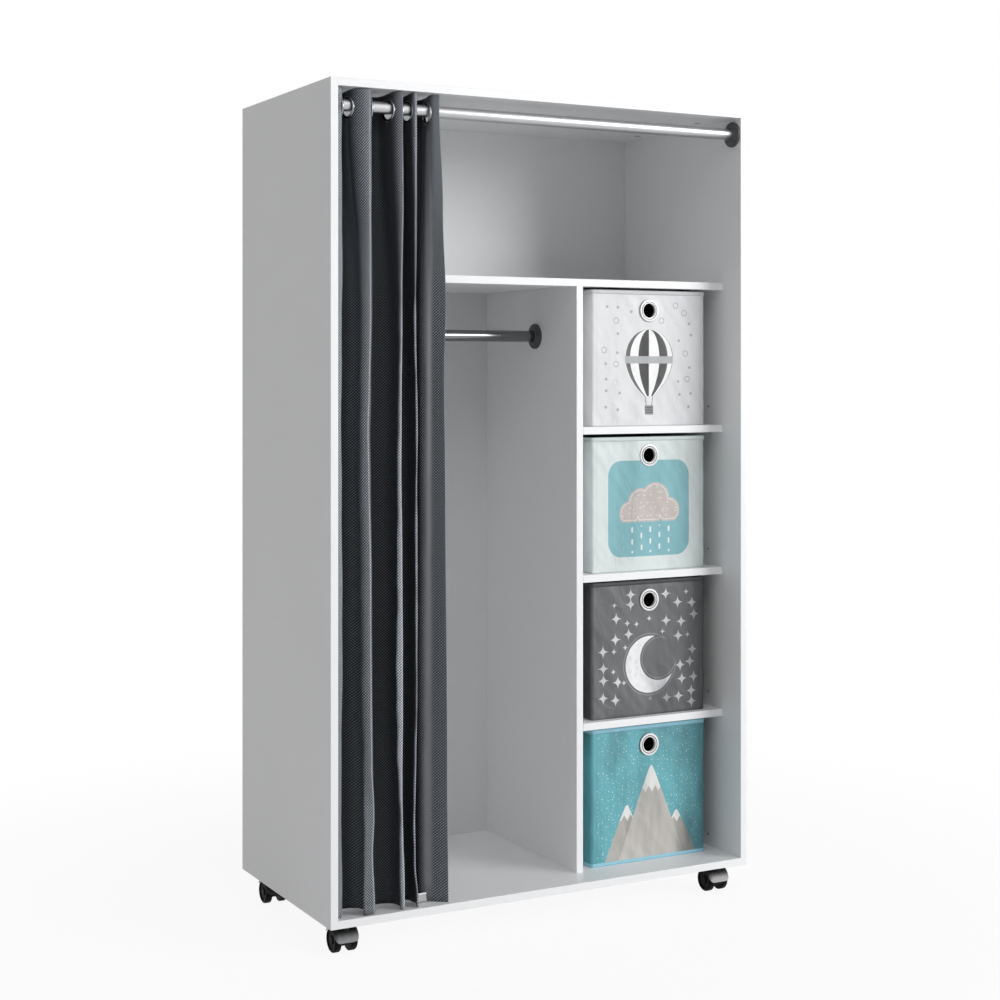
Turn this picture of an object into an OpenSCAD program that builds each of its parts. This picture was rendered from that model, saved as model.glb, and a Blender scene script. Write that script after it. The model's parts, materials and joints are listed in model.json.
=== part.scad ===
// Children's open wardrobe on castors: a board carcass with a hanging compartment,
// an upper shelf, a column of four bays with fabric boxes, and an eyelet curtain.
// Frame: origin on the floor under the middle of the carcass, front towards -Y, +Z up.

/* [Carcass] */
// Overall width of the carcass
carcass_w = 1000; // [940:10:1200]
// Depth of the side panels, front edge to rear edge
carcass_d = 498; // [480:2:560]
// Thickness of every board but the back
board = 16; // [15:1:18]
// Clear height of each of the four box bays
bay_h = 304; // [302:1:330]
// Clear height above the upper shelf
top_bay_h = 363; // [300:1:450]
// Clear width of the column of boxes
column_w = 366; // [340:2:420]
// How far shelves and divider stand back from the front edge
set_back = 70; // [69:1:84]
// Thickness of the back panel
back_t = 3; // [3:1:5]
// Distance from the back panel to the rear edge
back_inset = 12; // [8:1:20]

/* [Rods] */
// Outer diameter of the curtain rod and the clothes rod
rod_dia = 25; // [20:1:25]
// Distance of the curtain rod behind the front edge
curtain_rod_y = 30; // [30:1:34]
// Drop of the curtain rod's centre below the top panel
curtain_rod_drop = 34; // [32:1:60]
// Distance of the clothes rod behind the front edge
clothes_rod_y = 250; // [200:5:300]
// Drop of the clothes rod's centre below the upper shelf
clothes_rod_drop = 105; // [60:5:140]

/* [Curtain] */
// Thickness of the cloth
cloth_t = 1.6; // [1.2:0.1:2]
// How far the folds come forward of the rod
front_fold = 25; // [15:1:26]
// How far the folds go behind the rod
back_fold = 32; // [20:1:34]
// Gap from the hem to the bottom panel
hem_gap = 4; // [3:1:30]
// Inner radius of an eyelet
eyelet_r = 17; // [16:0.5:18]

/* [Boxes] */
// Width of a fabric box
box_w = 298; // [250:2:320]
// Depth of a fabric box
box_d = 300; // [250:5:380]
// Height of a fabric box
box_h = 299; // [250:1:300]
// Gap between the divider and a box
box_gap = 32; // [5:1:40]
// How far the boxes stand back from the front edge
box_y = 88; // [86:1:95]

/* [Castors] */
// Height from the floor to the carcass
castor_h = 64; // [62:1:70]
// Wheel diameter
wheel_dia = 50; // [46:1:50]
// Width of one wheel
wheel_w = 14; // [12:1:15]
// How far the axle trails behind the swivel
trail = 15; // [12:1:18]

/* [Hidden] */
$fn = 64;
CASTORS = ["front_left", "front_right", "rear_left", "rear_right"];
BOXES = [1, 2, 3, 4];
PLEATS = [1, 2, 3, 4, 5];

// Heights, measured from the carcass bottom
upper_shelf_z = 4 * (bay_h + board);
carcass_h = upper_shelf_z + 2 * board + top_bay_h;
inner_w = carcass_w - 2 * board;
divider_x = carcass_w - 2 * board - column_w;
back_y = carcass_d - back_inset - back_t;
shelf_d = back_y - set_back;
function bay_z(n) = board + (4 - n) * (bay_h + board);

// Joinery
groove = 6;
groove_play = 0.2;
cam_r = 7.5;
cam_depth = 12.5;
cam_reach = 34;
bolt_r = 3.4;
bolt_in_side = 11;
dowel_r = 4;
dowel_long = 19;
dowel_short = 11;
pin_r = 2.5;
pin_half = 8;
cam_y = [120, 370];
dowel_y = 250;
pin_y = [set_back + 37, back_y - 43];
divider_dowel_y = [set_back + 60, 270, back_y - 60];
spare_hole_y = 126;
spare_hole_z = 42;
spare_hole_pitch = 325;

// Rod fittings
rod_wall = 1.2;
flange_r = 28;
flange_t = 5;
collar_r = 15;
collar_t = 9;
flange_screw_ring = 21;
flange_screw_r = 1.75;
curtain_rod_z = carcass_h - board - curtain_rod_drop;
clothes_rod_z = upper_shelf_z - clothes_rod_drop;

// Castor parts, from the swivel axis at the carcass bottom
castor_front_y = 45;
castor_rear_y = 425;
castor_inset = 50;
wheel_r = wheel_dia / 2;
wheel_z = wheel_r - castor_h;
wheel_mid = 18;
axle_r = 3;
hood_r = wheel_r + 3;
hood_t = 1.7;
web_t = 18;
stem_r = 4;
plate_w = 42;
plate_t = 2.5;
plate_screw = 15.5;

// Curtain plan: where the cloth crosses the rod, measured from the left side
cross_x = [34, 49, 98, 138, 165, 179.5, 194, 225];
cloth_start = [30, 13];
cloth_end = [250, 7];
leg_lean = 0.2;
eyelet_outer = 5;
eyelet_half_t = 2;
cloth_top = carcass_h - board - 4;
cloth_bottom = board + hem_gap;
eyelet_z = curtain_rod_z - (eyelet_r - rod_dia / 2) + 0.3;

module in_frame() {
    translate([-carcass_w / 2, -carcass_d / 2, castor_h]) children();
}

// A cylinder along +X from its left end
module bar_x(r, l) {
    rotate([0, 90, 0]) cylinder(r = r, h = l);
}

module rounded_rect(w, d, r) {
    translate([r, 0]) square([w - 2 * r, d]);
    translate([0, r]) square([w, d - 2 * r]);
    for (x = [r, w - r], y = [r, d - r]) translate([x, y]) circle(r = r);
}

// ---- carcass boards ----

// Heights of the three boards that are bolted between the sides
function bolted_z() = [0, upper_shelf_z, carcass_h - board];

// Everything that is drilled into the inner face of a side; x = 0 is that face
module side_drillings(depth_dir) {
    for (z = bolted_z()) {
        for (y = cam_y) translate([0, y, z + board / 2]) drill(bolt_r, bolt_in_side, depth_dir);
        translate([0, dowel_y, z + board / 2]) drill(dowel_r, dowel_short, depth_dir);
    }
    translate([0, curtain_rod_y, curtain_rod_z]) flange_drillings(depth_dir);
}

module drill(r, depth, dir) {
    translate([dir > 0 ? 0 : -depth, 0, 0]) bar_x(r, depth);
}

module flange_drillings(dir) {
    for (a = [90, 210, 330])
        rotate([a, 0, 0]) translate([0, flange_screw_ring, 0]) drill(flange_screw_r, 11, dir);
}

module pin_drillings(dir) {
    for (n = [1:3], y = pin_y)
        translate([0, y, bay_z(n) - board - pin_r]) drill(pin_r, pin_half, dir);
}

module side_panel(is_left) {
    inner_x = is_left ? board : carcass_w - board;
    dir = is_left ? -1 : 1;
    color("whitesmoke") in_frame() difference() {
        translate([is_left ? 0 : carcass_w - board, 0, 0]) cube([board, carcass_d, carcass_h]);
        translate([is_left ? board - groove : inner_x - 1, back_y, -1])
            cube([groove + 1, back_t + groove_play, carcass_h + 2]);
        translate([inner_x, 0, 0]) side_drillings(dir);
        if (is_left)
            translate([inner_x, clothes_rod_y, clothes_rod_z]) flange_drillings(dir);
        else
            translate([inner_x, 0, 0]) {
                pin_drillings(dir);
                for (i = [0:3])
                    translate([0, spare_hole_y, spare_hole_z + i * spare_hole_pitch])
                        drill(pin_r, 10, dir);
            }
    }
}

// Cam pockets, bolt holes and dowel holes in the two ends of a bolted board
module end_joints() {
    for (s = [0, 1], y = cam_y) {
        translate([board + (s ? inner_w - cam_reach : cam_reach), y, 0])
            cylinder(r = cam_r, h = cam_depth);
        translate([board + (s ? inner_w - cam_reach : 0), y, board / 2])
            bar_x(bolt_r, cam_reach);
    }
    for (s = [0, 1])
        translate([board + (s ? inner_w - dowel_long : 0), dowel_y, board / 2])
            bar_x(dowel_r, dowel_long);
}

module top_panel() {
    color("whitesmoke") in_frame() translate([0, 0, carcass_h - board]) difference() {
        translate([board, 0, 0]) cube([inner_w, carcass_d, board]);
        end_joints();
        translate([0, back_y, -1]) cube([carcass_w, back_t + groove_play, groove + 1]);
    }
}

module bottom_panel() {
    color("whitesmoke") in_frame() difference() {
        translate([board, 0, 0]) cube([inner_w, carcass_d, board]);
        end_joints();
        translate([0, back_y, board - groove]) cube([carcass_w, back_t + groove_play, groove + 1]);
        for (y = divider_dowel_y)
            translate([divider_x + board / 2, y, board - dowel_short])
                cylinder(r = dowel_r, h = dowel_short + 1);
        at_castors() plate_screw_places() cylinder(r = 1.75, h = 11.5);
    }
}

module back_panel() {
    rim = groove - 0.5;
    color("gainsboro") in_frame()
        translate([board - rim, back_y, board - rim])
            cube([inner_w + 2 * rim, back_t, carcass_h - 2 * board + 2 * rim]);
}

module upper_shelf() {
    color("whitesmoke") in_frame() translate([0, 0, upper_shelf_z]) difference() {
        translate([board, set_back, 0]) cube([inner_w, shelf_d, board]);
        end_joints();
        for (y = divider_dowel_y)
            translate([divider_x + board / 2, y, -1]) cylinder(r = dowel_r, h = dowel_short + 1);
    }
}

module centre_divider() {
    height = upper_shelf_z - board;
    color("whitesmoke") in_frame() difference() {
        translate([divider_x, set_back, board]) cube([board, shelf_d, height]);
        for (y = divider_dowel_y, z = [board - 1, upper_shelf_z - dowel_long])
            translate([divider_x + board / 2, y, z]) cylinder(r = dowel_r, h = dowel_long + 1);
        translate([divider_x + board, 0, 0]) pin_drillings(-1);
        translate([divider_x, clothes_rod_y, clothes_rod_z]) flange_drillings(1);
    }
}

module box_shelf(n) {
    side_gap = 0.5;
    color("whitesmoke") in_frame()
        translate([divider_x + board + side_gap, set_back, bay_z(n) - board])
            cube([column_w - 2 * side_gap, shelf_d, board]);
}

// ---- joinery hardware ----

module shelf_pins() {
    color("silver") in_frame()
        for (n = [1:3], y = pin_y, x = [divider_x + board, carcass_w - board])
            translate([x - pin_half, y, bay_z(n) - board - pin_r]) bar_x(pin_r, 2 * pin_half);
}

module cam_locks() {
    color("darkgray") in_frame()
        for (z = bolted_z(), x = [board + cam_reach, carcass_w - board - cam_reach], y = cam_y)
            translate([x, y, z]) difference() {
                cylinder(r = cam_r, h = cam_depth);
                for (a = [0, 90]) rotate([0, 0, a]) translate([-4.5, -0.7, -1]) cube([9, 1.4, 3]);
            }
}

module cam_bolts() {
    bolt_l = bolt_in_side + cam_reach - cam_r;
    color("silver") in_frame()
        for (z = bolted_z(), y = cam_y,
             x = [board - bolt_in_side, carcass_w - board - cam_reach + cam_r])
            translate([x, y, z + board / 2]) bar_x(bolt_r, bolt_l);
}

module wood_dowels() {
    dowel_l = dowel_long + dowel_short;
    color("burlywood") in_frame() {
        for (z = bolted_z(), x = [board - dowel_short, carcass_w - board - dowel_long])
            translate([x, dowel_y, z + board / 2]) bar_x(dowel_r, dowel_l);
        for (y = divider_dowel_y, z = [board - dowel_short, upper_shelf_z - dowel_long])
            translate([divider_x + board / 2, y, z]) cylinder(r = dowel_r, h = dowel_l);
    }
}

// ---- rods ----

// A tube along X between two walls, half a millimetre clear of each
module rod(x0, x1) {
    translate([x0 + 0.5, 0, 0]) difference() {
        bar_x(rod_dia / 2, x1 - x0 - 1);
        translate([-1, 0, 0]) bar_x(rod_dia / 2 - rod_wall, x1 - x0 + 1);
    }
}

// One wall flange; its face lies on the wall and its collar points along +X
module flange() {
    difference() {
        union() {
            bar_x(flange_r - 1, flange_t);
            bar_x(flange_r, flange_t - 1);
            bar_x(collar_r, collar_t);
        }
        translate([-1, 0, 0]) bar_x(rod_dia / 2, collar_t + 2);
        for (a = [90, 210, 330])
            rotate([a, 0, 0]) translate([-1, flange_screw_ring, 0]) bar_x(2, flange_t + 2);
    }
}

module flange_pair(x0, x1) {
    translate([x0, 0, 0]) flange();
    translate([x1, 0, 0]) mirror([1, 0, 0]) flange();
}

module curtain_rod() {
    color("silver") in_frame()
        translate([0, curtain_rod_y, curtain_rod_z]) rod(board, carcass_w - board);
}

module curtain_rod_flanges() {
    color("dimgray") in_frame()
        translate([0, curtain_rod_y, curtain_rod_z]) flange_pair(board, carcass_w - board);
}

module clothes_rod() {
    color("silver") in_frame()
        translate([0, clothes_rod_y, clothes_rod_z]) rod(board, divider_x);
}

module clothes_rod_flanges() {
    color("dimgray") in_frame()
        translate([0, clothes_rod_y, clothes_rod_z]) flange_pair(board, divider_x);
}

module flange_screw_set() {
    for (a = [90, 210, 330]) rotate([a, 0, 0]) translate([0, flange_screw_ring, 0]) {
        translate([-10, 0, 0]) bar_x(flange_screw_r, 10 + flange_t);
        translate([flange_t, 0, 0]) bar_x(3.4, 1.8);
    }
}

module flange_screws() {
    color("gray") in_frame()
        for (p = [[curtain_rod_y, curtain_rod_z, carcass_w - board],
                  [clothes_rod_y, clothes_rod_z, divider_x]]) {
            translate([board, p[0], p[1]]) flange_screw_set();
            translate([p[2], p[0], p[1]]) mirror([1, 0, 0]) flange_screw_set();
        }
}

// ---- castors ----

function castor_at(i) = [i % 2 == 0 ? castor_inset : carcass_w - castor_inset,
                         i < 2 ? castor_front_y : castor_rear_y, 0];

module at_castors() {
    for (i = [0:3]) translate(castor_at(i)) children();
}

module plate_screw_places() {
    for (x = [-1, 1], y = [-1, 1]) translate([x * plate_screw, y * plate_screw, 0]) children();
}

module castor_plates() {
    color("dimgray") in_frame() at_castors() translate([0, 0, -plate_t]) difference() {
        translate([-plate_w / 2, -plate_w / 2, 0])
            linear_extrude(plate_t) rounded_rect(plate_w, plate_w, 5);
        translate([0, 0, -1]) cylinder(r = stem_r, h = plate_t + 2);
        translate([0, 0, -1]) plate_screw_places() cylinder(r = 2.2, h = plate_t + 2);
    }
}

module castor_stems() {
    color("silver") in_frame() at_castors() {
        translate([0, 0, -26]) cylinder(r = stem_r, h = 26);
        translate([0, 0, -plate_t - 1.2]) cylinder(r = 8, h = 1.2);
    }
}

module castor_plate_screws() {
    color("silver") in_frame() at_castors() plate_screw_places() {
        translate([0, 0, -plate_t]) cylinder(r = 1.75, h = plate_t + 11);
        translate([0, 0, -plate_t - 2.2]) cylinder(r = 3.7, h = 2.2);
    }
}

// Extrudes a side profile, drawn as [y, z] from the axle, across the castor
module across(w) {
    translate([0, trail, wheel_z]) rotate([90, 0, 90]) linear_extrude(w, center = true) children();
}

module hood_shell() {
    half_w = wheel_mid + wheel_w / 2;
    lip_z = -1;
    corner = 10;
    intersection() {
        across(2 * half_w + 2) difference() {
            circle(r = hood_r);
            circle(r = hood_r - hood_t);
            polygon([[0, -10], [60, -10], [60, 40], [0, 0]]);
        }
        translate([0, trail + 2 * hood_r, wheel_z + lip_z]) rotate([90, 0, 0])
            linear_extrude(4 * hood_r) {
                translate([-half_w, corner]) square([2 * half_w, hood_r + 10]);
                translate([corner - half_w, 0]) square([2 * (half_w - corner), hood_r]);
                for (s = [-1, 1]) translate([s * (half_w - corner), corner]) circle(r = corner);
            }
    }
}

module castor_hood(i) {
    boss_top = -plate_t - 1.5;
    color("#2b2d2f") in_frame() translate(castor_at(i)) difference() {
        union() {
            hood_shell();
            across(web_t) {
                circle(r = 12.5);
                difference() {
                    circle(r = hood_r - 0.5);
                    translate([-hood_r, -8 - 2 * hood_r]) square([2 * hood_r, 2 * hood_r]);
                }
            }
            translate([0, 0, boss_top - 26]) cylinder(r = 8.5, h = 26);
        }
        translate([0, 0, -27]) cylinder(r = stem_r + 0.05, h = 30);
        translate([-web_t, trail, wheel_z]) bar_x(axle_r, 2 * web_t);
    }
}

module castor_axle(i) {
    half_l = wheel_mid + wheel_w / 2 - 1.6;
    color("silver") in_frame() translate(castor_at(i))
        translate([-half_l, trail, wheel_z]) bar_x(axle_r, 2 * half_l);
}

// Wheel as a turned profile [radius, distance from the inner face]
module wheel_profile() {
    outer = 4;
    inner = 1.5;
    bore = axle_r + 0.05;
    polygon(concat(
        [[0, wheel_w - 1.2], [0, wheel_w], [9, wheel_w], [10, wheel_w - 0.8],
         [wheel_r - 6, wheel_w - 0.8], [wheel_r - 5, wheel_w]],
        [for (a = [90:-22.5:0]) [wheel_r - outer + outer * cos(a), wheel_w - outer + outer * sin(a)]],
        [for (a = [0:-30:-90]) [wheel_r - inner + inner * cos(a), inner + inner * sin(a)]],
        [[bore, 0], [bore, wheel_w - 1.2]]));
}

module castor_wheel(i, side) {
    color("#1c1d1e") in_frame() translate(castor_at(i))
        translate([side * (wheel_mid - wheel_w / 2), trail, wheel_z])
            rotate([0, side * 90, 0]) rotate_extrude($fn = 96) wheel_profile();
}

// ---- curtain ----

// Half a fold as a curve from p to q; the cloth leans at the rod and turns level at the fold's tip
function half_fold(cross, tip, steps = 6) =
    let (d = tip - cross, a = cross + [leg_lean * abs(d[1]) * sign(d[0]), d[1]] * 0.6,
         b = tip - [0.8 * d[0], 0])
    [for (i = [0:steps]) let (t = i / steps, s = 1 - t)
        s * s * s * cross + 3 * s * s * t * a + 3 * s * t * t * b + t * t * t * tip];

function reversed(v) = [for (i = [len(v) - 1:-1:0]) v[i]];
function crossing(i) = [cross_x[i], curtain_rod_y];

// Tip of the fold between crossing i and the next; even ones lie at the back
function fold_tip(i) = [(cross_x[i] + cross_x[i + 1]) / 2,
                        curtain_rod_y + (i % 2 == 0 ? back_fold : -front_fold)];

// A back tip drawn aside a little, so that neighbouring strips don't touch
function back_tip(i, dir) = fold_tip(i) + [dir * 0.4, 0];

// Plan line of strip n: 1 and 5 are the outer edges, the others have one front fold each
function strip_path(n) =
    n == 1 ? concat([cloth_start], half_fold(crossing(0), back_tip(0, -1))) :
    n == 5 ? concat(reversed(half_fold(crossing(7), back_tip(6, 1))),
                    half_fold(crossing(7), cloth_end)) :
    let (i = 2 * n - 3)
    concat(reversed(half_fold(crossing(i), back_tip(i - 1, 1))),
           half_fold(crossing(i), fold_tip(i)),
           reversed(half_fold(crossing(i + 1), fold_tip(i))),
           half_fold(crossing(i + 1), back_tip(i + 1, -1)));

// Drops a point that repeats the one before it
function cleaned(v) = [for (i = [0:len(v) - 1]) if (i == 0 || norm(v[i] - v[i - 1]) > 0.01) v[i]];

function side_normal(v, i) =
    let (a = v[max(i - 1, 0)], b = v[min(i + 1, len(v) - 1)], d = (b - a) / norm(b - a))
    [-d[1], d[0]];

module cloth_outline(n) {
    v = cleaned(strip_path(n));
    last = len(v) - 1;
    polygon(concat([for (i = [0:last]) v[i] + side_normal(v, i) * cloth_t / 2],
                   [for (i = [last:-1:0]) v[i] - side_normal(v, i) * cloth_t / 2]));
}

// Crossings that belong to a strip
function strip_crossings(n) = n == 1 ? [0] : n == 5 ? [7] : [2 * n - 3, 2 * n - 2];

// Turns the X axis to the cloth's normal at a crossing
module at_crossing(i) {
    translate([cross_x[i], curtain_rod_y, eyelet_z])
        rotate([0, 0, (i % 2 == 0 ? -1 : 1) * atan(leg_lean)]) children();
}

module curtain_cloth(n) {
    color("#3a3d42") in_frame() difference() {
        translate([0, 0, cloth_bottom]) linear_extrude(cloth_top - cloth_bottom) cloth_outline(n);
        for (i = strip_crossings(n))
            at_crossing(i) translate([-6, 0, 0]) bar_x(eyelet_r + 1.5, 12);
    }
}

module curtain_eyelets(n) {
    rim = eyelet_r + eyelet_outer;
    lip = cloth_t / 2 + 0.05;
    color("silver") in_frame()
        for (i = strip_crossings(n)) at_crossing(i) rotate([0, 90, 0]) rotate_extrude()
            polygon([[eyelet_r, -eyelet_half_t + 0.5], [eyelet_r + 0.7, -eyelet_half_t],
                     [rim - 1, -eyelet_half_t], [rim, -lip], [eyelet_r + 1.4, -lip],
                     [eyelet_r + 1.4, lip], [rim, lip], [rim - 1, eyelet_half_t],
                     [eyelet_r + 0.7, eyelet_half_t], [eyelet_r, eyelet_half_t - 0.5]]);
}

// ---- boxes ----

box_x = carcass_w - board - column_w + box_gap;
box_wall = 3.5;
box_corner = 7;
ring_z = 255;
ring_r = 15;
ring_wall = 2.5;
box_colors = ["#eceef0", "#cfe3e0", "#4b4e50", "#2e8f92"];

module at_box(n) {
    in_frame() translate([box_x, box_y, bay_z(n)]) children();
}

module box_fabric(n) {
    rim_h = 10;
    rim_t = 0.8;
    color(box_colors[n - 1]) at_box(n) difference() {
        union() {
            linear_extrude(box_h) rounded_rect(box_w, box_d, box_corner);
            translate([-rim_t, -rim_t, box_h - rim_h]) linear_extrude(rim_h)
                rounded_rect(box_w + 2 * rim_t, box_d + 2 * rim_t, box_corner + rim_t);
        }
        translate([box_wall, box_wall, box_wall])
            cube([box_w - 2 * box_wall, box_d - 2 * box_wall, box_h]);
        translate([box_w / 2, -1, ring_z]) rotate([-90, 0, 0])
            cylinder(r = ring_r + ring_wall, h = box_wall + 2);
    }
}

module box_base_board(n) {
    gap = box_wall + 1;
    color("tan") at_box(n) translate([gap, gap, box_wall]) linear_extrude(3)
        rounded_rect(box_w - 2 * gap, box_d - 2 * gap, 6);
}

module box_ring_handle(n) {
    color("white") at_box(n) translate([box_w / 2, 0, ring_z]) rotate([-90, 0, 0])
        rotate_extrude() polygon([
            [ring_r, -1.5], [ring_r + 1, -2.5], [24, -2.5], [25, -1.5], [25, 0],
            [ring_r + ring_wall, 0], [ring_r + ring_wall, box_wall], [22, box_wall],
            [22, box_wall + 1.5], [ring_r + 0.5, box_wall + 1.5], [ring_r, box_wall + 1]]);
}

// ---- nodes ----

side_panel(true);  // left_side_panel
side_panel(false);  // right_side_panel
top_panel();
bottom_panel();
back_panel();
upper_shelf();
centre_divider();
for (n = [1:3]) box_shelf(n);
shelf_pins();
cam_locks();
cam_bolts();
wood_dowels();
curtain_rod();
curtain_rod_flanges();
clothes_rod();
clothes_rod_flanges();
flange_screws();
castor_plates();
castor_stems();
castor_plate_screws();
for (i = [0:3]) {
    castor_hood(i);
    castor_axle(i);
    castor_wheel(i, -1);
    castor_wheel(i, 1);
}
for (n = PLEATS) {
    curtain_cloth(n);
    curtain_eyelets(n);
}
for (n = BOXES) {
    box_fabric(n);
    box_base_board(n);
    box_ring_handle(n);
}
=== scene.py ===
import json
import math

import bmesh
import bpy
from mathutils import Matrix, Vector, noise


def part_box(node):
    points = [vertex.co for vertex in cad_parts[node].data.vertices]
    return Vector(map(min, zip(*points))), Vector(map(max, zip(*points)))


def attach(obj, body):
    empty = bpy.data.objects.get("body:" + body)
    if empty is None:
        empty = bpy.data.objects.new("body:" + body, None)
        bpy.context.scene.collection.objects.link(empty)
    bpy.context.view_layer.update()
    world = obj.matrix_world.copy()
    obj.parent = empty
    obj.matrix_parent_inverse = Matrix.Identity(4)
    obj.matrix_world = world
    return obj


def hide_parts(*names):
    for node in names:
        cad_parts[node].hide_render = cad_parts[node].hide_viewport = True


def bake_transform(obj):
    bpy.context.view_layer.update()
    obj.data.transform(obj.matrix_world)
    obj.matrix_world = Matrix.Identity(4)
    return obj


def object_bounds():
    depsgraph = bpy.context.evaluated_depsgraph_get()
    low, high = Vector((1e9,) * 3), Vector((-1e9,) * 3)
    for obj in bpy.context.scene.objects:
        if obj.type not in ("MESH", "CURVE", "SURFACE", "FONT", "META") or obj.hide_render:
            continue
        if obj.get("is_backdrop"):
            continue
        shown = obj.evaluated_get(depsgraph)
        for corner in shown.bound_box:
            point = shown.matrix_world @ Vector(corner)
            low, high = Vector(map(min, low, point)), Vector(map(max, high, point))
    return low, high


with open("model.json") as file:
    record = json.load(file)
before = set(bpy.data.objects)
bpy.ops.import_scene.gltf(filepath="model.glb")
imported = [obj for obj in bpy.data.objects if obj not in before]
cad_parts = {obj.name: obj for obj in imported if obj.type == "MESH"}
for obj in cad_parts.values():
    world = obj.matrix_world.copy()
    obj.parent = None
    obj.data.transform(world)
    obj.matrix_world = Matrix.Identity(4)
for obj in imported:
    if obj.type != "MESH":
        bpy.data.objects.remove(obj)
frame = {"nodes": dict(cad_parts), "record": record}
nodes = frame["nodes"]
bodies = frame["record"]["behaviour"]["bodies"]
cad_low, cad_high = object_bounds()
MM = 0.001


# ---------------------------------------------------------------- white boards
# The carcass, divider and shelves are 16 mm chipboard faced with white melamine and
# edged with a white band. They are cut square and drilled for the fittings.

class Value:
    """A socket in a node tree. Arithmetic on it adds Math nodes, and node() adds any other."""

    def __init__(self, tree, socket=None):
        self.tree = tree
        self.socket = socket

    def node(self, kind, settings=None, inputs=None, output=0):
        made = self.tree.nodes.new(kind)
        for key, value in (settings or {}).items():
            setattr(made, key, value)
        for key, value in (inputs or {}).items():
            socket = made.inputs[key]
            if isinstance(value, Value):
                self.tree.links.new(value.socket, socket)
            elif socket.type == "RGBA":
                socket.default_value = (*value, 1)
            else:
                socket.default_value = value
        return Value(self.tree, made.outputs[output] if made.outputs else None)

    def output(self, name):
        return Value(self.tree, self.socket.node.outputs[name])

    def math(self, operation, *values):
        inputs = dict(enumerate((self, *values)))
        return self.node("ShaderNodeMath", {"operation": operation}, inputs)

    def __add__(self, other):
        return self.math("ADD", other)

    def __sub__(self, other):
        return self.math("SUBTRACT", other)

    def __rsub__(self, other):
        return self.math("MULTIPLY", -1).math("ADD", other)

    def __mul__(self, other):
        return self.math("MULTIPLY", other)

    def __truediv__(self, other):
        return self.math("DIVIDE", other)

    def __abs__(self):
        return self.math("ABSOLUTE")

    __radd__ = __add__
    __rmul__ = __mul__

    def least(self, other):
        return self.math("MINIMUM", other)

    def most(self, other):
        return self.math("MAXIMUM", other)

    def under(self, limit, soft):
        """1 where the value lies under the limit and 0 over it, with a soft step."""
        values = {0: self, 1: limit - soft, 2: limit + soft, 3: 1.0, 4: 0.0}
        return self.node("ShaderNodeMapRange", {"interpolation_type": "SMOOTHSTEP"}, values)

    def length_with(self, other):
        return (self * self + other * other).math("SQRT")

    def axes(self):
        split = self.node("ShaderNodeSeparateXYZ", None, {0: self})
        return split, split.output("Y"), split.output("Z")

    def stretched(self, scale, turn=(0, 0, 0)):
        return self.node("ShaderNodeMapping", None, {0: self, "Scale": scale, "Rotation": turn})

    def noise(self, scale, detail=2.0, rough=0.5):
        values = {"Vector": self, "Scale": scale, "Detail": detail, "Roughness": rough}
        return self.node("ShaderNodeTexNoise", None, values)

    def mix(self, low, high):
        """From the low colour to the high one as the value goes from 0 to 1."""
        return self.node("ShaderNodeMix", {"data_type": "RGBA"}, {0: self, 6: low, 7: high}, 2)

    def bump(self, height, strength=1.0):
        """A normal, from the value as a share of a height in metres."""
        values = {"Height": self, "Distance": height, "Strength": strength}
        return self.node("ShaderNodeBump", None, values)


def new_finish(name, coordinates="Object"):
    """Starts a material, and gives it with the coordinates that its patterns follow."""
    material = bpy.data.materials.new(name)
    material.use_nodes = True
    material.node_tree.nodes.clear()
    return material, Value(material.node_tree).node("ShaderNodeTexCoord", output=coordinates)


def finish(material, at, sockets):
    """Ends a material with one shader that has these sockets."""
    shader = at.node("ShaderNodeBsdfPrincipled", None, sockets)
    at.node("ShaderNodeOutputMaterial", None, {"Surface": shader})
    return material


def body_of(node):
    return next(body for body, members in bodies.items() if node in members)


def new_piece(name, mesh, body=None, replaced=(), materials=()):
    """A finished piece at the origin, with what it rides on and what it stands for."""
    piece = bpy.data.objects.new(name, mesh)
    bpy.context.collection.objects.link(piece)
    for material in materials:
        mesh.materials.append(material)
    if body:
        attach(piece, body)
    if replaced:
        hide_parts(*replaced)
    return piece


def softened(node, materials, radius, shortest):
    """A copy of a CAD node with its triangles joined and its long edges rounded, in its place."""
    flat, sharp = math.radians(1), math.radians(35)
    shape = bmesh.new()
    shape.from_mesh(nodes[node].data)
    bmesh.ops.remove_doubles(shape, verts=shape.verts, dist=1e-6)
    bmesh.ops.dissolve_limit(shape, angle_limit=flat, verts=shape.verts, edges=shape.edges)
    corners = [e for e in shape.edges
               if len(e.link_faces) == 2 and e.calc_face_angle(0) > sharp]
    for edge in corners:
        edge.smooth = False
    long_ones = [e for e in corners if e.calc_length() > shortest]
    made = bmesh.ops.bevel(shape, geom=long_ones, offset=radius, segments=3, profile=0.5,
                           affect="EDGES", clamp_overlap=True)
    for face in shape.faces:
        face.smooth = True
    for face in made["faces"]:
        for edge in face.edges:
            edge.smooth = True
    mesh = bpy.data.meshes.new(node + "_rounded")
    shape.to_mesh(mesh)
    shape.free()
    mesh.materials.clear()
    piece = new_piece(node + "_rounded", mesh, body_of(node), [node], materials)
    weighted = piece.modifiers.new("flat faces", "WEIGHTED_NORMAL")
    weighted.keep_sharp = True
    return piece


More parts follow.
